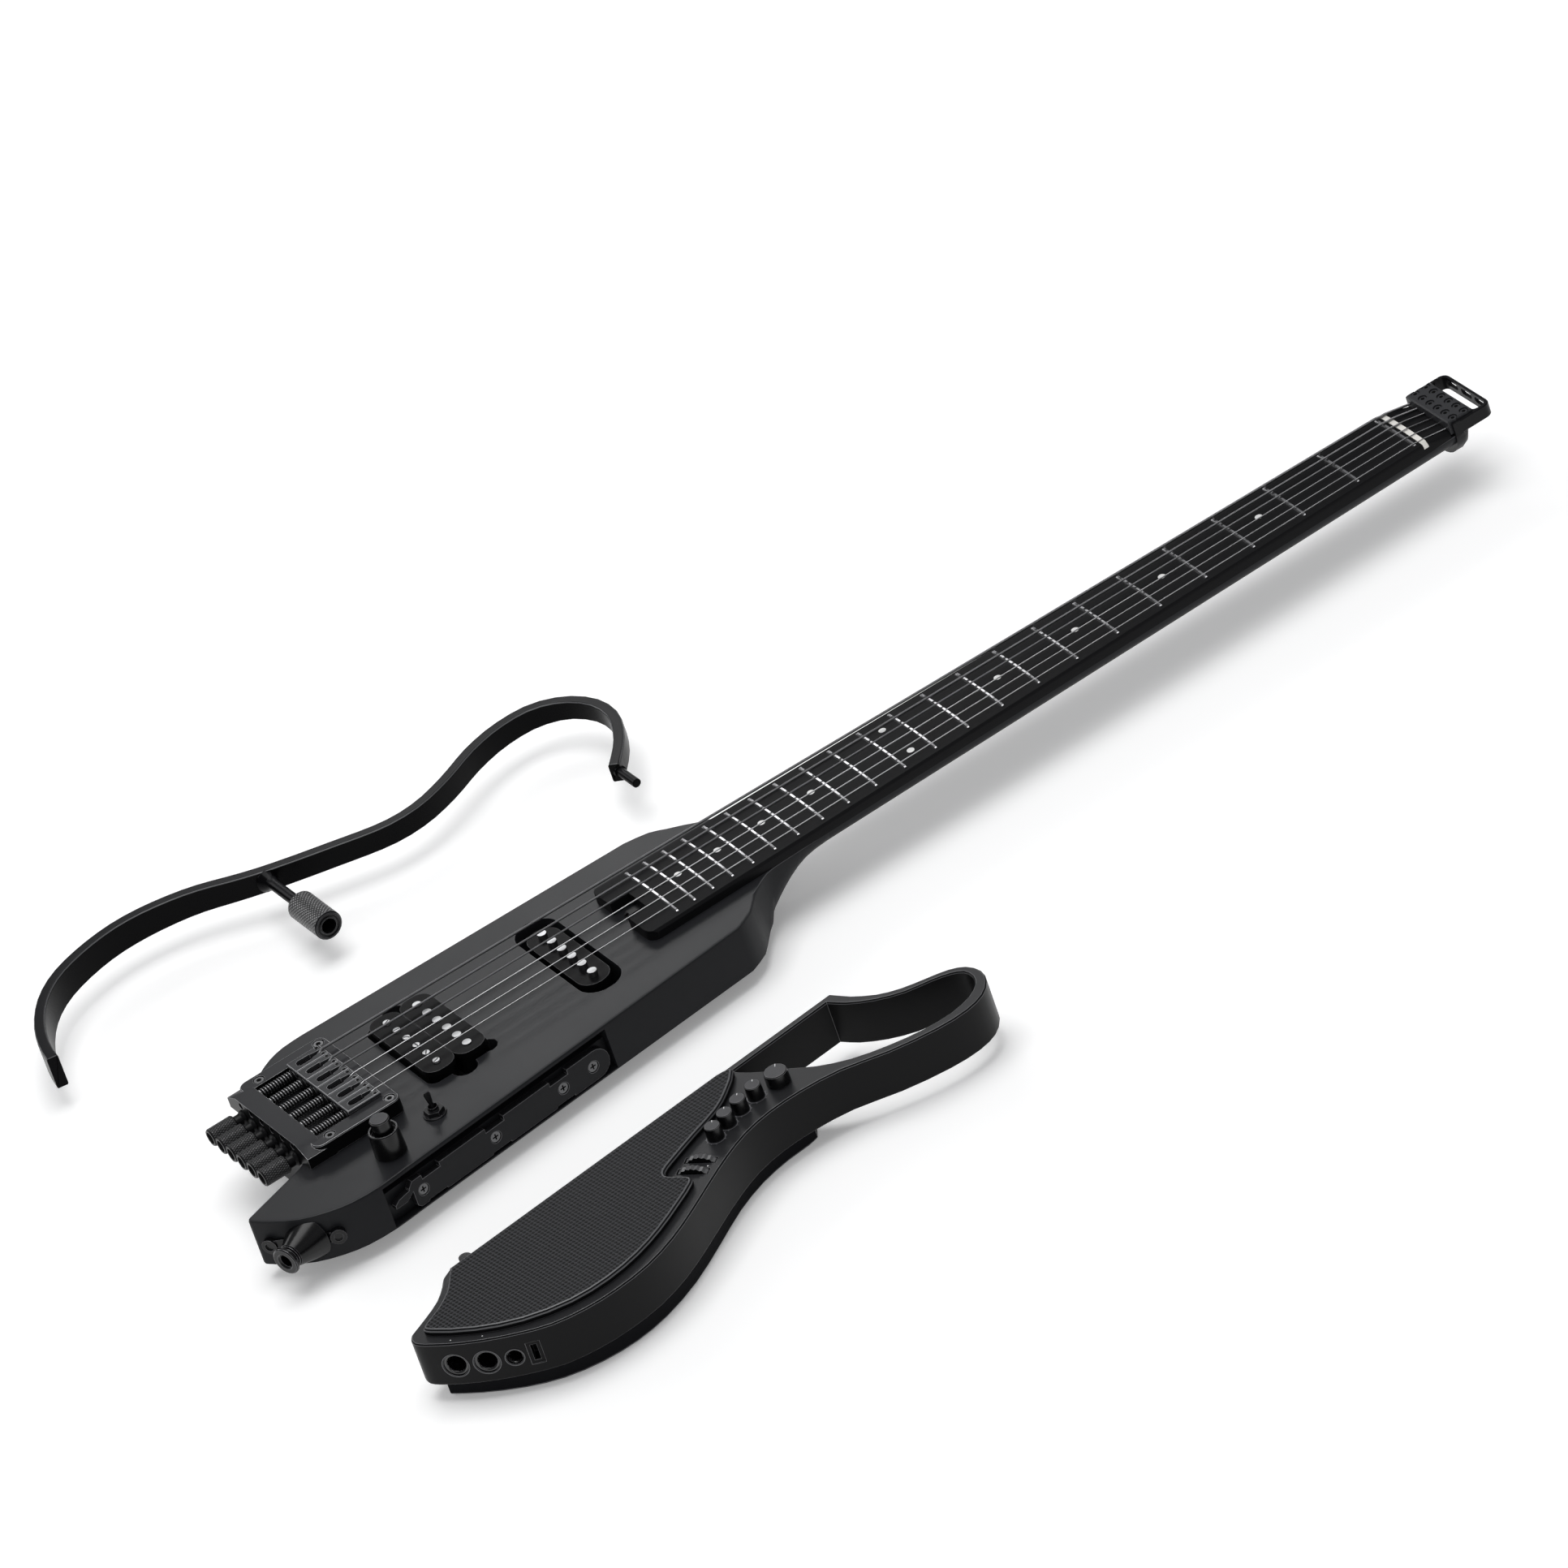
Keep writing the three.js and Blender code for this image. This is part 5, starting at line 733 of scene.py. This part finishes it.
@dataclass
class PlayingBody:
    """Body, neck and what is let into them."""

    face: float = -7.0
    face_slack: float = 0.05
    shortest_edge: float = 0.8
    board_crown: float = 305.0
    fret_rise: float = 0.12
    fret_end: float = 1.6
    scale_length: float = 648.0
    dot_radius: float = 2.0
    dot_height: float = 0.36
    dot_sink: float = 0.3
    dot_sides: int = 28
    dot_frets: tuple[int, ...] = (3, 5, 7, 9, 15, 17, 19, 21)
    double_fret: int = 12
    double_offset: float = 13.8
    heel_low: float = -33.2
    heel_corner: tuple[tuple[Pair, Pair, float], ...] = (
        ((-421.0, -418.0), (-32.0, -30.3), 2.8), ((-426.0, -421.0), (-36.5, -34.0), 1.6))

    def crown(self, y: float) -> float:
        """Drop of the board's face at a distance from its middle."""
        return -(y * y) / (2 * self.board_crown)

    def fret(self, number: float) -> float:
        """Distance of a fret from the zero fret."""
        return self.scale_length * (1 - 2 ** (-number / 12))

    def is_fret(self, face: Face) -> int:
        """Finish index of a face of the board: one on the frets."""
        middle = middle_of(face)
        return int(middle.z > self.crown(middle.y) + self.fret_rise and middle.x < self.fret_end)

    def ease_heel(self, mesh: Mesh) -> None:
        """Draw the low front corner of the heel in, as the photo has it.

        Args:
            mesh: copy of the body.
        """
        for vert in mesh.verts:
            place = (vert.co - ORIGIN) / MM
            if place.z > self.heel_low:
                continue
            for (rear, front), (low, high), ease in self.heel_corner:
                if rear < place.x < front and low < place.y < high:
                    vert.co.x -= ease * MM

    def is_outline(self, edge: Edge) -> bool:
        """Whether an edge of the body is a long enough one round its face."""
        away = max(abs((vert.co.z - ORIGIN.z) / MM - self.face) for vert in edge.verts)
        return away < self.face_slack and edge.calc_length() > self.shortest_edge * MM

    def build(self, maker: Builder) -> None:
        """Dress the body, the board and its frets, and lay in the dots.

        Args:
            maker: takes the pieces.
        """
        # The body's top is painted darker than its walls as shade, and its outline edges carry a
        # painted highlight.
        maker.dress(
            "body_and_neck", [BODY, BODY_TOP_SHADE, BODY_EDGE_HIGHLIGHT], looks_up(LEVEL), edge=0.35,
            among=self.is_outline, clamp=False, shape=self.ease_heel)
        maker.dress("fingerboard", [BOARD, FRET], self.is_fret)
        maker.dress("string_guide", [BONE], edge=0.25)
        maker.dress("truss_rod_nut", [BLACK_METAL], edge=0.2)
        dots = bmesh.new()
        for number in self.dot_frets:
            self.dot(dots, number, 0.0)
        for side in (-1, 1):
            self.dot(dots, self.double_fret, side * self.double_offset)
        maker.finish("board_dots", dots, [DOT])

    def dot(self, mesh: Mesh, number: int, y: float) -> None:
        """Lay one dot between a fret and the one before it.

        Args:
            mesh: mesh to add to.
            number: number of the fret.
            y: distance from the middle line.
        """
        x = -(self.fret(number) + self.fret(number - 1)) / 2
        slope = Vector((0, y / self.board_crown, 1)).normalized()
        foot = at(x, y, self.crown(y) - self.dot_sink)
        disc(mesh, foot, self.dot_radius, self.dot_height, slope, self.dot_sides)


@dataclass
class Head:
    """String clamp at the head end."""

    rows: Pair = (25.2, 32.2)
    pitch: float = 7.0
    floor: float = 0.8
    radius: float = 2.2
    height: float = 0.8
    smooth: float = 40.0

    def build(self, maker: Builder) -> None:
        """Dress the loop and the block and set the twelve screws.

        Args:
            maker: takes the pieces.
        """
        maker.dress("head_frame", [BLACK_METAL], smooth=self.smooth)
        maker.dress("clamp_block", [GREY_METAL], smooth=self.smooth)
        screws = bmesh.new()
        for x in self.rows:
            for y in string_row(self.pitch):
                socket_screw(screws, at(x, y, self.floor), self.radius, self.height)
        maker.finish("clamp_screws", screws, [GREY_METAL, RECESS_SHADE])


@dataclass
class Pickups:
    """Single coil at the neck and double coil at the bridge."""

    faces: tuple[tuple[str, float], ...] = (
        ("neck_pickup", -7.6), ("slug_coil", -2.2), ("screw_coil", -2.2))
    pole_rise: float = 0.08
    face_slack: float = 0.04
    screw_x: float = -613.3
    screw_top: float = -1.32
    pitch: float = 10.0
    slot_size: Triple = (3.4, 0.6, 0.08)
    slot_turn: float = 20.0
    slot_step: float = 37.0

    def over(self, height: float) -> Rule:
        """Rule that gives finish one to the poles, above the face of a coil."""
        limit = ORIGIN.z + (height + self.pole_rise) * MM
        return lambda face: int(face.calc_center_median().z > limit)

    def round_face(self, height: float) -> EdgeRule:
        """Rule for the edges round a coil's face, without those at the foot of a pole.

        Args:
            height: height of the face.

        Returns:
            The rule.
        """
        level, slack = ORIGIN.z + height * MM, self.face_slack * MM
        return lambda edge: edge.is_convex and all(abs(v.co.z - level) < slack for v in edge.verts)

    def build(self, maker: Builder) -> None:
        """Dress the coils and lay dark bars of painted shade for the slots of the pole screws.

        Args:
            maker: takes the pieces.
        """
        for node, height in self.faces:
            # The rounded edges round each coil's face take a painted highlight.
            maker.dress(
                node, [COIL, STEEL, COIL_EDGE_HIGHLIGHT], self.over(height), edge=0.18,
                among=self.round_face(height), clamp=False)
        maker.dress("pickup_plate", [STEEL])
        # Thin dark bars on the pole screws stand for the shade in their slots.
        slots = bmesh.new()
        for i, y in enumerate(string_row(self.pitch)):
            turn = math.radians(self.slot_turn + self.slot_step * i)
            bar(slots, at(self.screw_x, y, self.screw_top), self.slot_size, turn)
        maker.finish("pole_screw_slot_shade", slots, [RECESS_SHADE])


@dataclass
class Bridge:
    """Bridge with its saddles, pull blocks and tuner barrels."""

    AXIS_Z = -6.5
    PITCH = 10.5

    side_limit: float = 0.7
    corner_x: Pair = (-683.2, -647.2)
    corner_y: float = 36.0
    corner_floor: float = 0.6
    corner_radius: float = 2.9
    corner_height: float = 0.9
    plate_end: float = -668.6
    block_end: float = -668.1
    grip: Pair = (-720.4, -707.2)
    grub_x: float = -651.1
    grub_y: float = 3.5
    grub_floor: float = 3.2
    grub_radius: float = 1.15
    grub_height: float = 0.8
    rod_z: float = 0.5
    spring_start: float = -688.4
    spring_end: float = -669.2
    spring_radius: float = 2.2
    spring_wire: float = 0.4
    spring_turns: int = 12
    spring_steps: int = 12
    spring_sides: int = 6

    def on_plate(self, edge: Edge) -> bool:
        """Whether an edge of a saddle is one of its plate's."""
        return min(vert.co.x for vert in edge.verts) > ORIGIN.x + self.plate_end * MM

    def is_grip(self, face: Face) -> int:
        """Finish index of a face of a tuner: one on the knurled wall, with painted highlight and
        shade.
        """
        return int(on_grip(face, 0, self.grip))

    def spring(self, y: float) -> Mesh:
        """Wind the spring of a saddle's rod.

        Args:
            y: distance of the rod from the middle line.

        Returns:
            The spring's mesh.
        """
        mesh = bmesh.new()
        start = at(self.spring_start, y, self.rod_z)
        place = Matrix.Translation(start + Vector((0, 0, self.spring_radius * MM)))
        made = bmesh.ops.create_circle(
            mesh, cap_ends=True, segments=self.spring_sides, radius=self.spring_wire * MM,
            matrix=place @ Matrix.Rotation(math.pi / 2, 4, "X"))
        face = made["verts"][0].link_faces[0]
        steps = self.spring_turns * self.spring_steps
        reach = (self.spring_end - self.spring_start) * MM
        bmesh.ops.spin(
            mesh, geom=list(face.verts) + list(face.edges) + [face], cent=start, axis=(1, 0, 0),
            dvec=(reach / steps, 0, 0), angle=math.tau * self.spring_turns, steps=steps)
        bmesh.ops.recalc_face_normals(mesh, faces=mesh.faces)
        return mesh

    def build(self, maker: Builder) -> None:
        """Dress the bridge and set its small screws.

        Args:
            maker: takes the pieces.
        """
        # The deck's walls take painted shade and its rounded edges a painted highlight.
        sides = looks_aside(self.side_limit)
        maker.dress("bridge_base", [DECK, DECK_WALL_SHADE, DECK_RIM_HIGHLIGHT], sides, edge=0.3)
        corners = bmesh.new()
        for x in self.corner_x:
            for side in (-1, 1):
                place = at(x, side * self.corner_y, self.corner_floor)
                socket_screw(corners, place, self.corner_radius, self.corner_height)
        maker.finish("bridge_corner_screws", corners, [SCREW_STEEL, RECESS_SHADE])
        for number, y in enumerate(string_row(self.PITCH), 1):
            saddle, puller, tuner = (f"{name}_{number}" for name in ("saddle", "puller", "tuner"))
            # The rounded edges of each saddle plate take a painted highlight.
            maker.dress(
                saddle, [GREY_METAL, THREAD, DECK_RIM_HIGHLIGHT], to_tail(self.plate_end), body=saddle,
                edge=0.14, among=self.on_plate)
            maker.dress(puller, [BLACK_METAL, THREAD], to_tail(self.block_end), body=puller)
            maker.dress(tuner, [BLACK_METAL, KNURL], self.is_grip, body=tuner)
            grubs = bmesh.new()
            for side in (-1, 1):
                place = at(self.grub_x, y + side * self.grub_y, self.grub_floor)
                socket_screw(grubs, place, self.grub_radius, self.grub_height)
            maker.finish(f"saddle_grubs_{number}", grubs, [BLACK_METAL, RECESS_SHADE], saddle)
            name = f"saddle_spring_{number}"
            maker.finish(name, self.spring(y), [SPRING], saddle, smooth=60, weighted=False)


@dataclass
class StringSet:
    """The six strings."""

    first_wound: int = 4

    def build(self, maker: Builder) -> None:
        """Dress the plain and the wound strings.

        Args:
            maker: takes the pieces.
        """
        for number in range(1, STRING_COUNT + 1):
            wire = WOUND if number >= self.first_wound else WIRE
            maker.dress(f"string_{number}", [wire], smooth=70)


@dataclass
class Fittings:
    """Dock rail, jack, knobs and switch of the body."""

    rail_screws: int = 4
    rail_start: Pair = (-559.0, -69.4)
    seat_floor: float = -2.4
    seat_mouth: float = -0.7
    seat_z: float = -25.7
    seat_radius: float = 3.4
    largest_facet: float = 8e-6
    face_limit: float = 0.999
    cross_mouth: float = -1.15
    cap: float = 13.9

    def depth(self, face: Face) -> float:
        """Distance of a face in front of the plane of the slanted side."""
        middle, (x, y) = middle_of(face), self.rail_start
        return (middle.x - x) * math.sin(DOCK_ANGLE) - (middle.y - y) * math.cos(DOCK_ANGLE)

    def is_seat(self, face: Face) -> int:
        """Finish index of a face of the rail: one, painted shade, in the seats of its screws.

        Args:
            face: the face.

        Returns:
            The index.
        """
        small = abs(face.normal.z) < self.face_limit and face.calc_area() < self.largest_facet
        near = abs(middle_of(face).z - self.seat_z) < self.seat_radius
        return int(small and near and self.seat_floor < self.depth(face) < self.seat_mouth)

    def is_cross(self, face: Face) -> int:
        """Finish index of a face of a rail screw: one, painted shade, in its cross."""
        return int(self.depth(face) < self.cross_mouth)

    def build(self, maker: Builder) -> None:
        """Dress what is screwed to the body.

        Args:
            maker: takes the pieces.
        """
        # The rail's rounded edges take a painted highlight and its screw seats painted shade; the
        # crosses of its screws take painted shade.
        maker.dress("dock_rail", [RAIL, RECESS_SHADE, RAIL_EDGE_HIGHLIGHT], self.is_seat, edge=0.22)
        for number in range(1, self.rail_screws + 1):
            maker.dress(f"rail_screw_{number}", [SCREW_STEEL, RECESS_SHADE], self.is_cross)
        # Rounded edges of the jack and the strap jack take a painted highlight.
        maker.dress("jack_housing", [BLACK, BLACK_RIM_HIGHLIGHT], edge=0.15)
        maker.dress("strap_jack", [BLACK, BLACK_RIM_HIGHLIGHT], edge=0.18)
        # The volume ring and tone knob take a painted highlight on their rounded edges; the tone
        # knob's cap is painted lighter than its walls.
        maker.dress("volume_ring", [KNOB, KNOB_EDGE_HIGHLIGHT], body="volume_ring", edge=0.15)
        maker.dress(
            "tone_knob", [KNOB, KNOB_TOP_LIGHT, KNOB_EDGE_HIGHLIGHT], cap_above(self.cap), body="tone_knob",
            edge=0.15)
        # Rounded edges of the switch collar take a painted highlight.
        maker.dress("switch_collar", [BLACK_METAL, BLACK_RIM_HIGHLIGHT], edge=0.15)
        maker.dress("switch_lever", [BLACK_METAL], body="switch_lever", smooth=50)


@dataclass
class UpperFrame:
    """Clip-on upper frame with its thumb nut."""

    AXIS_Z = -21.0
    POST_X = -579.6

    top_limit: float = 0.75
    bar_low: float = 132.0
    shortest_edge: float = 2.0
    grip: Pair = (152.3, 179.7)
    bore: float = 7.0

    def on_bar(self, edge: Edge) -> bool:
        """Whether an edge of the frame lies along its bar.

        Args:
            edge: the edge.

        Returns:
            True along the bar.
        """
        first, second = ((vert.co - ORIGIN) / MM for vert in edge.verts)
        level = abs(first.z - second.z) < self.shortest_edge
        return level and first.y > self.bar_low and (first - second).length > self.shortest_edge

    def is_grip(self, face: Face) -> int:
        """Finish index of a face of the thumb nut: one on the knurled wall, outside its bore."""
        reach = math.dist(middle_of(face).xz, (self.POST_X, self.AXIS_Z))
        return int(reach > self.bore and on_grip(face, 1, self.grip))

    def build(self, maker: Builder) -> None:
        """Dress the bar and the nut.

        Args:
            maker: takes the pieces.
        """
        # The bar's top is painted lighter than its walls, and its long edges carry a painted
        # highlight.
        maker.dress(
            "frame_bar", [FRAME, FRAME_TOP_LIGHT, FRAME_RIM_HIGHLIGHT], looks_up(self.top_limit),
            body="upper_frame", edge=0.35, among=self.on_bar, smooth=50, clamp=False)
        # The nut's knurl is painted lighter as a highlight and its rounded edges take a painted
        # highlight.
        maker.dress(
            "thumb_nut", [BLACK_METAL, KNURL_NUT_GLINTS, BLACK_RIM_HIGHLIGHT], self.is_grip, body="thumb_nut",
            edge=0.15)


@dataclass(frozen=True)
class Knob:
    """A knob of the module: its node, which is its body too, its place, radius and top."""

    node: str
    x: float
    y: float
    radius: float = 4.15
    top: float = 1.0
    ticked: bool = True


@dataclass
class SpeakerModule:
    """Clip-on speaker module with its handle."""

    body: str = "speaker_module"
    face: float = -7.0
    face_depth: float = 0.5
    knobs: tuple[Knob, ...] = (
        Knob("amp_knob_1", -552.2, -197.4), Knob("amp_knob_2", -542.3, -193.2),
        Knob("amp_knob_3", -532.0, -189.3), Knob("amp_knob_4", -520.9, -186.3),
        Knob("master_knob", -507.2, -186.2, 6.1, 0.6, False))
    cap_depth: float = 0.2
    pointer_turn: float = math.radians(57)
    pointer_reach: float = 0.74
    pointer_length: float = 0.36
    pointer_size: Pair = (0.4, 0.06)
    tick_gap: float = 1.1
    tick_first: float = -60.0
    tick_step: float = 30.0
    tick_lengths: tuple[float, ...] = (1.3, *(0.9,) * 4) * 2 + (1.3,)
    tick_size: Pair = (0.3, 0.04)
    tick_lift: float = 0.01
    tick_ring: tuple[Pair, ...] = ((-0.55, -0.02), (-0.55, 0.05), (-0.2, 0.05), (-0.2, -0.02))
    ring_steps: int = 40
    wheels: tuple[Triple, ...] = ((-567.1, -206.5, -15.0), (-574.7, -211.1, -15.0))
    wheel_axis: float = math.radians(40)
    wheel_reach: float = 10.5
    dots: tuple[Triple, ...] = (
        (-727.0, -223.4, 0.35), (-714.7, -234.2, 0.35), (-567.4, -213.6, 0.4))
    dot_sink: float = 0.02
    dot_height: float = 0.06
    socket_z: float = -20.6
    socket_sink: float = 1.2
    sockets: tuple[tuple[float, ...], ...] = (
        (-729.6, -225.0, 6.3, 4.7, 224.03), (-717.8, -236.1, 6.3, 4.7, 230.56),
        (-706.6, -244.8, 4.2, 3.2, 235.0))
    socket_rim: tuple[Pair, ...] = ((0, -0.3), (0, 0.25), (-0.4, 0.4))
    socket_bore: tuple[Pair, ...] = ((0.5, 0.1), (0, -0.4), (-0.35, -1.6), (-0.6, -9))
    socket_outline: tuple[Pair, ...] = ((0.85, -0.6), (0.85, 0.1), (0.5, 0.1), (0.35, -0.6))
    socket_steps: int = 32

    def is_wall(self, face: Face) -> int:
        """Finish index of a face of the housing: one on its walls, painted darker as shade."""
        low = middle_of(face).z < self.face - self.face_depth
        return int(face.normal.z < LEVEL or low)

    def is_tooth(self, centre: Vector) -> Rule:
        """Rule that gives finish one, a painted highlight, to the teeth of a thumbwheel.

        Args:
            centre: middle of the wheel.

        Returns:
            The rule.
        """
        axis = heading(self.wheel_axis)

        def rule(face: Face) -> int:
            """Finish index of a face: one, a painted highlight, on the teeth."""
            away = face.calc_center_median() - centre
            return int((away - axis * away.dot(axis)).length > self.wheel_reach * MM)

        return rule

    def pointer(self, maker: Builder, knob: Knob) -> None:
        """Lay a light pointer line on a knob.

        Args:
            maker: takes the piece.
            knob: the knob.
        """
        mesh = bmesh.new()
        place = at(knob.x, knob.y, knob.top)
        place += heading(self.pointer_turn) * knob.radius * self.pointer_reach * MM
        size = (knob.radius * self.pointer_length, *self.pointer_size)
        bar(mesh, place, size, self.pointer_turn)
        maker.finish(knob.node.replace("knob", "pointer"), mesh, [POINTER], knob.node)

    def ticks(self, maker: Builder, knob: Knob) -> None:
        """Lay a ring of scale ticks round a knob.

        Args:
            maker: takes the piece.
            knob: the knob.
        """
        mesh = bmesh.new()
        radius, centre = knob.radius + self.tick_gap, at(knob.x, knob.y, self.face)
        for i, length in enumerate(self.tick_lengths):
            turn = math.radians(self.tick_first + self.tick_step * i)
            place = centre + (heading(turn) * radius + UP * self.tick_lift) * MM
            bar(mesh, place, (length, *self.tick_size), turn)
        ring(mesh, centre, UP, around(radius, self.tick_ring), self.ring_steps)
        maker.finish(knob.node.replace("knob", "ticks"), mesh, [TICK], self.body)

    def build(self, maker: Builder) -> None:
        """Dress the module and add its rings, marks and pointers.

        Args:
            maker: takes the pieces.
        """
        # The housing's walls are painted darker as shade and its rounded edges carry a painted
        # highlight.
        maker.dress(
            "speaker_housing", [HOUSING_TOP, HOUSING_WALL_SHADE, HOUSING_EDGE_HIGHLIGHT], self.is_wall,
            body=self.body, edge=0.3)
        # The grille's walls are painted darker as shade and its rim carries a painted highlight.
        maker.dress(
            "speaker_grille", [GRILLE, GRILLE_WALL_SHADE, GRILLE_RIM_HIGHLIGHT], looks_aside(LEVEL),
            body=self.body, edge=0.45)
        # The pad's rounded edges take the housing's painted highlight.
        maker.dress("lower_pad", [PAD, HOUSING_EDGE_HIGHLIGHT], body=self.body, edge=0.35)
        maker.dress("speaker_driver", [CONE], body=self.body)
        for knob in self.knobs:
            # Each knob's cap is painted lighter than its walls and its rounded edges carry a
            # painted highlight.
            cap = cap_above(knob.top - self.cap_depth)
            maker.dress(knob.node, [KNOB, KNOB_TOP_LIGHT, KNOB_EDGE_HIGHLIGHT], cap, body=knob.node, edge=0.15)
            self.pointer(maker, knob)
            if knob.ticked:
                self.ticks(maker, knob)
        for number, place in enumerate(self.wheels, 1):
            wheel, teeth = f"thumbwheel_{number}", self.is_tooth(at(*place))
            maker.dress(wheel, [BLACK, KNOB_EDGE_HIGHLIGHT], teeth, body=wheel, smooth=20)
        maker.dress("dock_latch", [BLACK], body="dock_latch", edge=0.3)
        self.socket_rings(maker)
        marks = bmesh.new()
        for x, y, radius in self.dots:
            disc(marks, at(x, y, self.face - self.dot_sink), radius, self.dot_height, sides=12)
        maker.finish("housing_marks", marks, [POINTER], self.body)

    def socket_rings(self, maker: Builder) -> None:
        """Set the glossy socket rings into the end wall, ringed by light outlines of painted
        highlight.

        Args:
            maker: takes the pieces.
        """
        mesh, outlines = bmesh.new(), bmesh.new()
        for x, y, outer, inner, angle in self.sockets:
            axis, mouth = heading(math.radians(angle)).normalized(), at(x, y, self.socket_z)
            profile = around(outer, self.socket_rim) + around(inner, self.socket_bore)
            ring(mesh, mouth - axis * self.socket_sink * MM, axis, profile, self.socket_steps)
            ring(outlines, mouth, axis, around(outer, self.socket_outline), self.ring_steps)
        maker.finish("socket_rings", mesh, [SOCKET], self.body, smooth=60)
        maker.finish("socket_outline_highlights", outlines, [HOUSING_EDGE_HIGHLIGHT], self.body)


@dataclass(frozen=True)
class Lamp:
    """A large soft lamp: its place and target, its width and height in metres, and its watts."""

    name: str
    place: Triple
    target: Triple
    size: Pair
    power: float

    def hang(self) -> None:
        """Put the lamp into the scene."""
        data = bpy.data.lights.new(self.name, "AREA")
        data.shape = "RECTANGLE"
        data.size, data.size_y = self.size
        data.energy = self.power
        place = Vector(self.place)
        turn = (Vector(self.target) - place).to_track_quat("-Z", "Y").to_matrix().to_4x4()
        add_object(self.name, data).matrix_world = Matrix.Translation(place) @ turn


@dataclass
class Studio:
    """Floor, lamps, world and camera in metres; the eye is placed by at()."""

    focal: float = 358.03
    sensor: float = 36.0
    view_end: float = 60.0
    eye: Triple = (-2758.3, -6096.4, 4312.4)
    forward: Triple = (0.3038, 0.7786, -0.5491)
    right: Triple = (0.8116, -0.5133, -0.2789)
    floor_size: float = 30.0
    floor_lift: float = 0.2
    floor_gap: float = 0.0001
    lamps: tuple[Lamp, ...] = (
        Lamp("top_softbox", (0.1, 0.1, 3.2), (0.2, 0, 0), (2.4, 2.4), 70),
        Lamp("back_softbox", (-1.8, 2.8, 1.8), (0.2, 0, 0), (2.4, 1.2), 20),
        Lamp("front_fill", (-1.2, -3.2, 1.6), (0.2, 0, 0), (2.4, 1.4), 12),
        Lamp("gloss_panel", (0.46, 0.95, 0.68), (0.05, 0, 0.03), (0.5, 0.22), 1.5))
    world_color: tuple[float, float, float, float] = (0.94, 0.95, 0.97, 1)
    world_strength: float = 0.28
    world_seen: float = 0.8

    def camera(self) -> None:
        """Put the camera where the photograph was taken from."""
        data = bpy.data.cameras.new("photo_camera")
        data.lens = self.focal
        data.sensor_width = data.sensor_height = self.sensor
        data.sensor_fit = "HORIZONTAL"
        data.clip_end = self.view_end
        made = add_object("photo_camera", data)
        back, right = -Vector(self.forward).normalized(), Vector(self.right)
        right = (right - back * right.dot(back)).normalized()
        turn = Matrix((right, back.cross(right), back)).transposed().to_4x4()
        made.matrix_world = Matrix.Translation(at(*self.eye)) @ turn
        bpy.context.scene.camera = made

    def floor_material(self) -> bpy.types.Material:
        """Floor finish that the camera sees as white, with the object's shadow kept.

        Returns:
            The material.
        """
        made = FLOOR.material()
        tree = made.node_tree
        shader = next(part for part in tree.nodes if part.type == "BSDF_PRINCIPLED")
        path = add_node(tree, "LightPath", {})
        seen = add_math(tree, "MAXIMUM", path["Is Camera Ray"], path["Is Glossy Ray"])
        shader.inputs["Emission Color"].default_value = (1, 1, 1, 1)
        lift = add_math(tree, "MULTIPLY", seen, self.floor_lift)
        tree.links.new(lift, shader.inputs["Emission Strength"])
        return made

    def build(self, low: float) -> None:
        """Lay the floor and set up lamps, world and camera.

        Args:
            low: height of the part's lowest point.
        """
        mesh = bmesh.new()
        bmesh.ops.create_grid(
            mesh, x_segments=1, y_segments=1, size=self.floor_size / 2,
            matrix=Matrix.Translation((0, 0, low - self.floor_gap)))
        data = bpy.data.meshes.new("studio_floor")
        mesh.to_mesh(data)
        mesh.free()
        floor = add_object("studio_floor", data)
        data.materials.append(self.floor_material())
        floor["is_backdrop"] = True
        for lamp in self.lamps:
            lamp.hang()
        world = bpy.data.worlds.new("studio")
        world.use_nodes = True
        tree = world.node_tree
        backdrop = tree.nodes["Background"]
        backdrop.inputs["Color"].default_value = self.world_color
        seen = add_node(tree, "LightPath", {})["Is Camera Ray"]
        strength = add_math(tree, "MULTIPLY_ADD", seen, self.world_seen, self.world_strength)
        tree.links.new(strength, backdrop.inputs["Strength"])
        bpy.context.scene.world = world
        bpy.context.scene.view_settings.view_transform = "Standard"
        self.camera()


def main() -> None:
    """Build the sub-assemblies in order."""
    logging.basicConfig(level=logging.INFO, format="%(message)s")
    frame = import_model()
    cad_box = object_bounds()
    maker = Builder(frame["nodes"])
    for assembly in (
            PlayingBody(), Head(), Pickups(), Bridge(), StringSet(), Fittings(), UpperFrame(),
            SpeakerModule()):
        LOG.info("building %s", type(assembly).__name__)
        assembly.build(maker)
    Studio().build(min(point[2] for point in cad_box))
    LOG.info("%d pieces", len(maker.pieces))


if __name__ == "__main__":
    main()
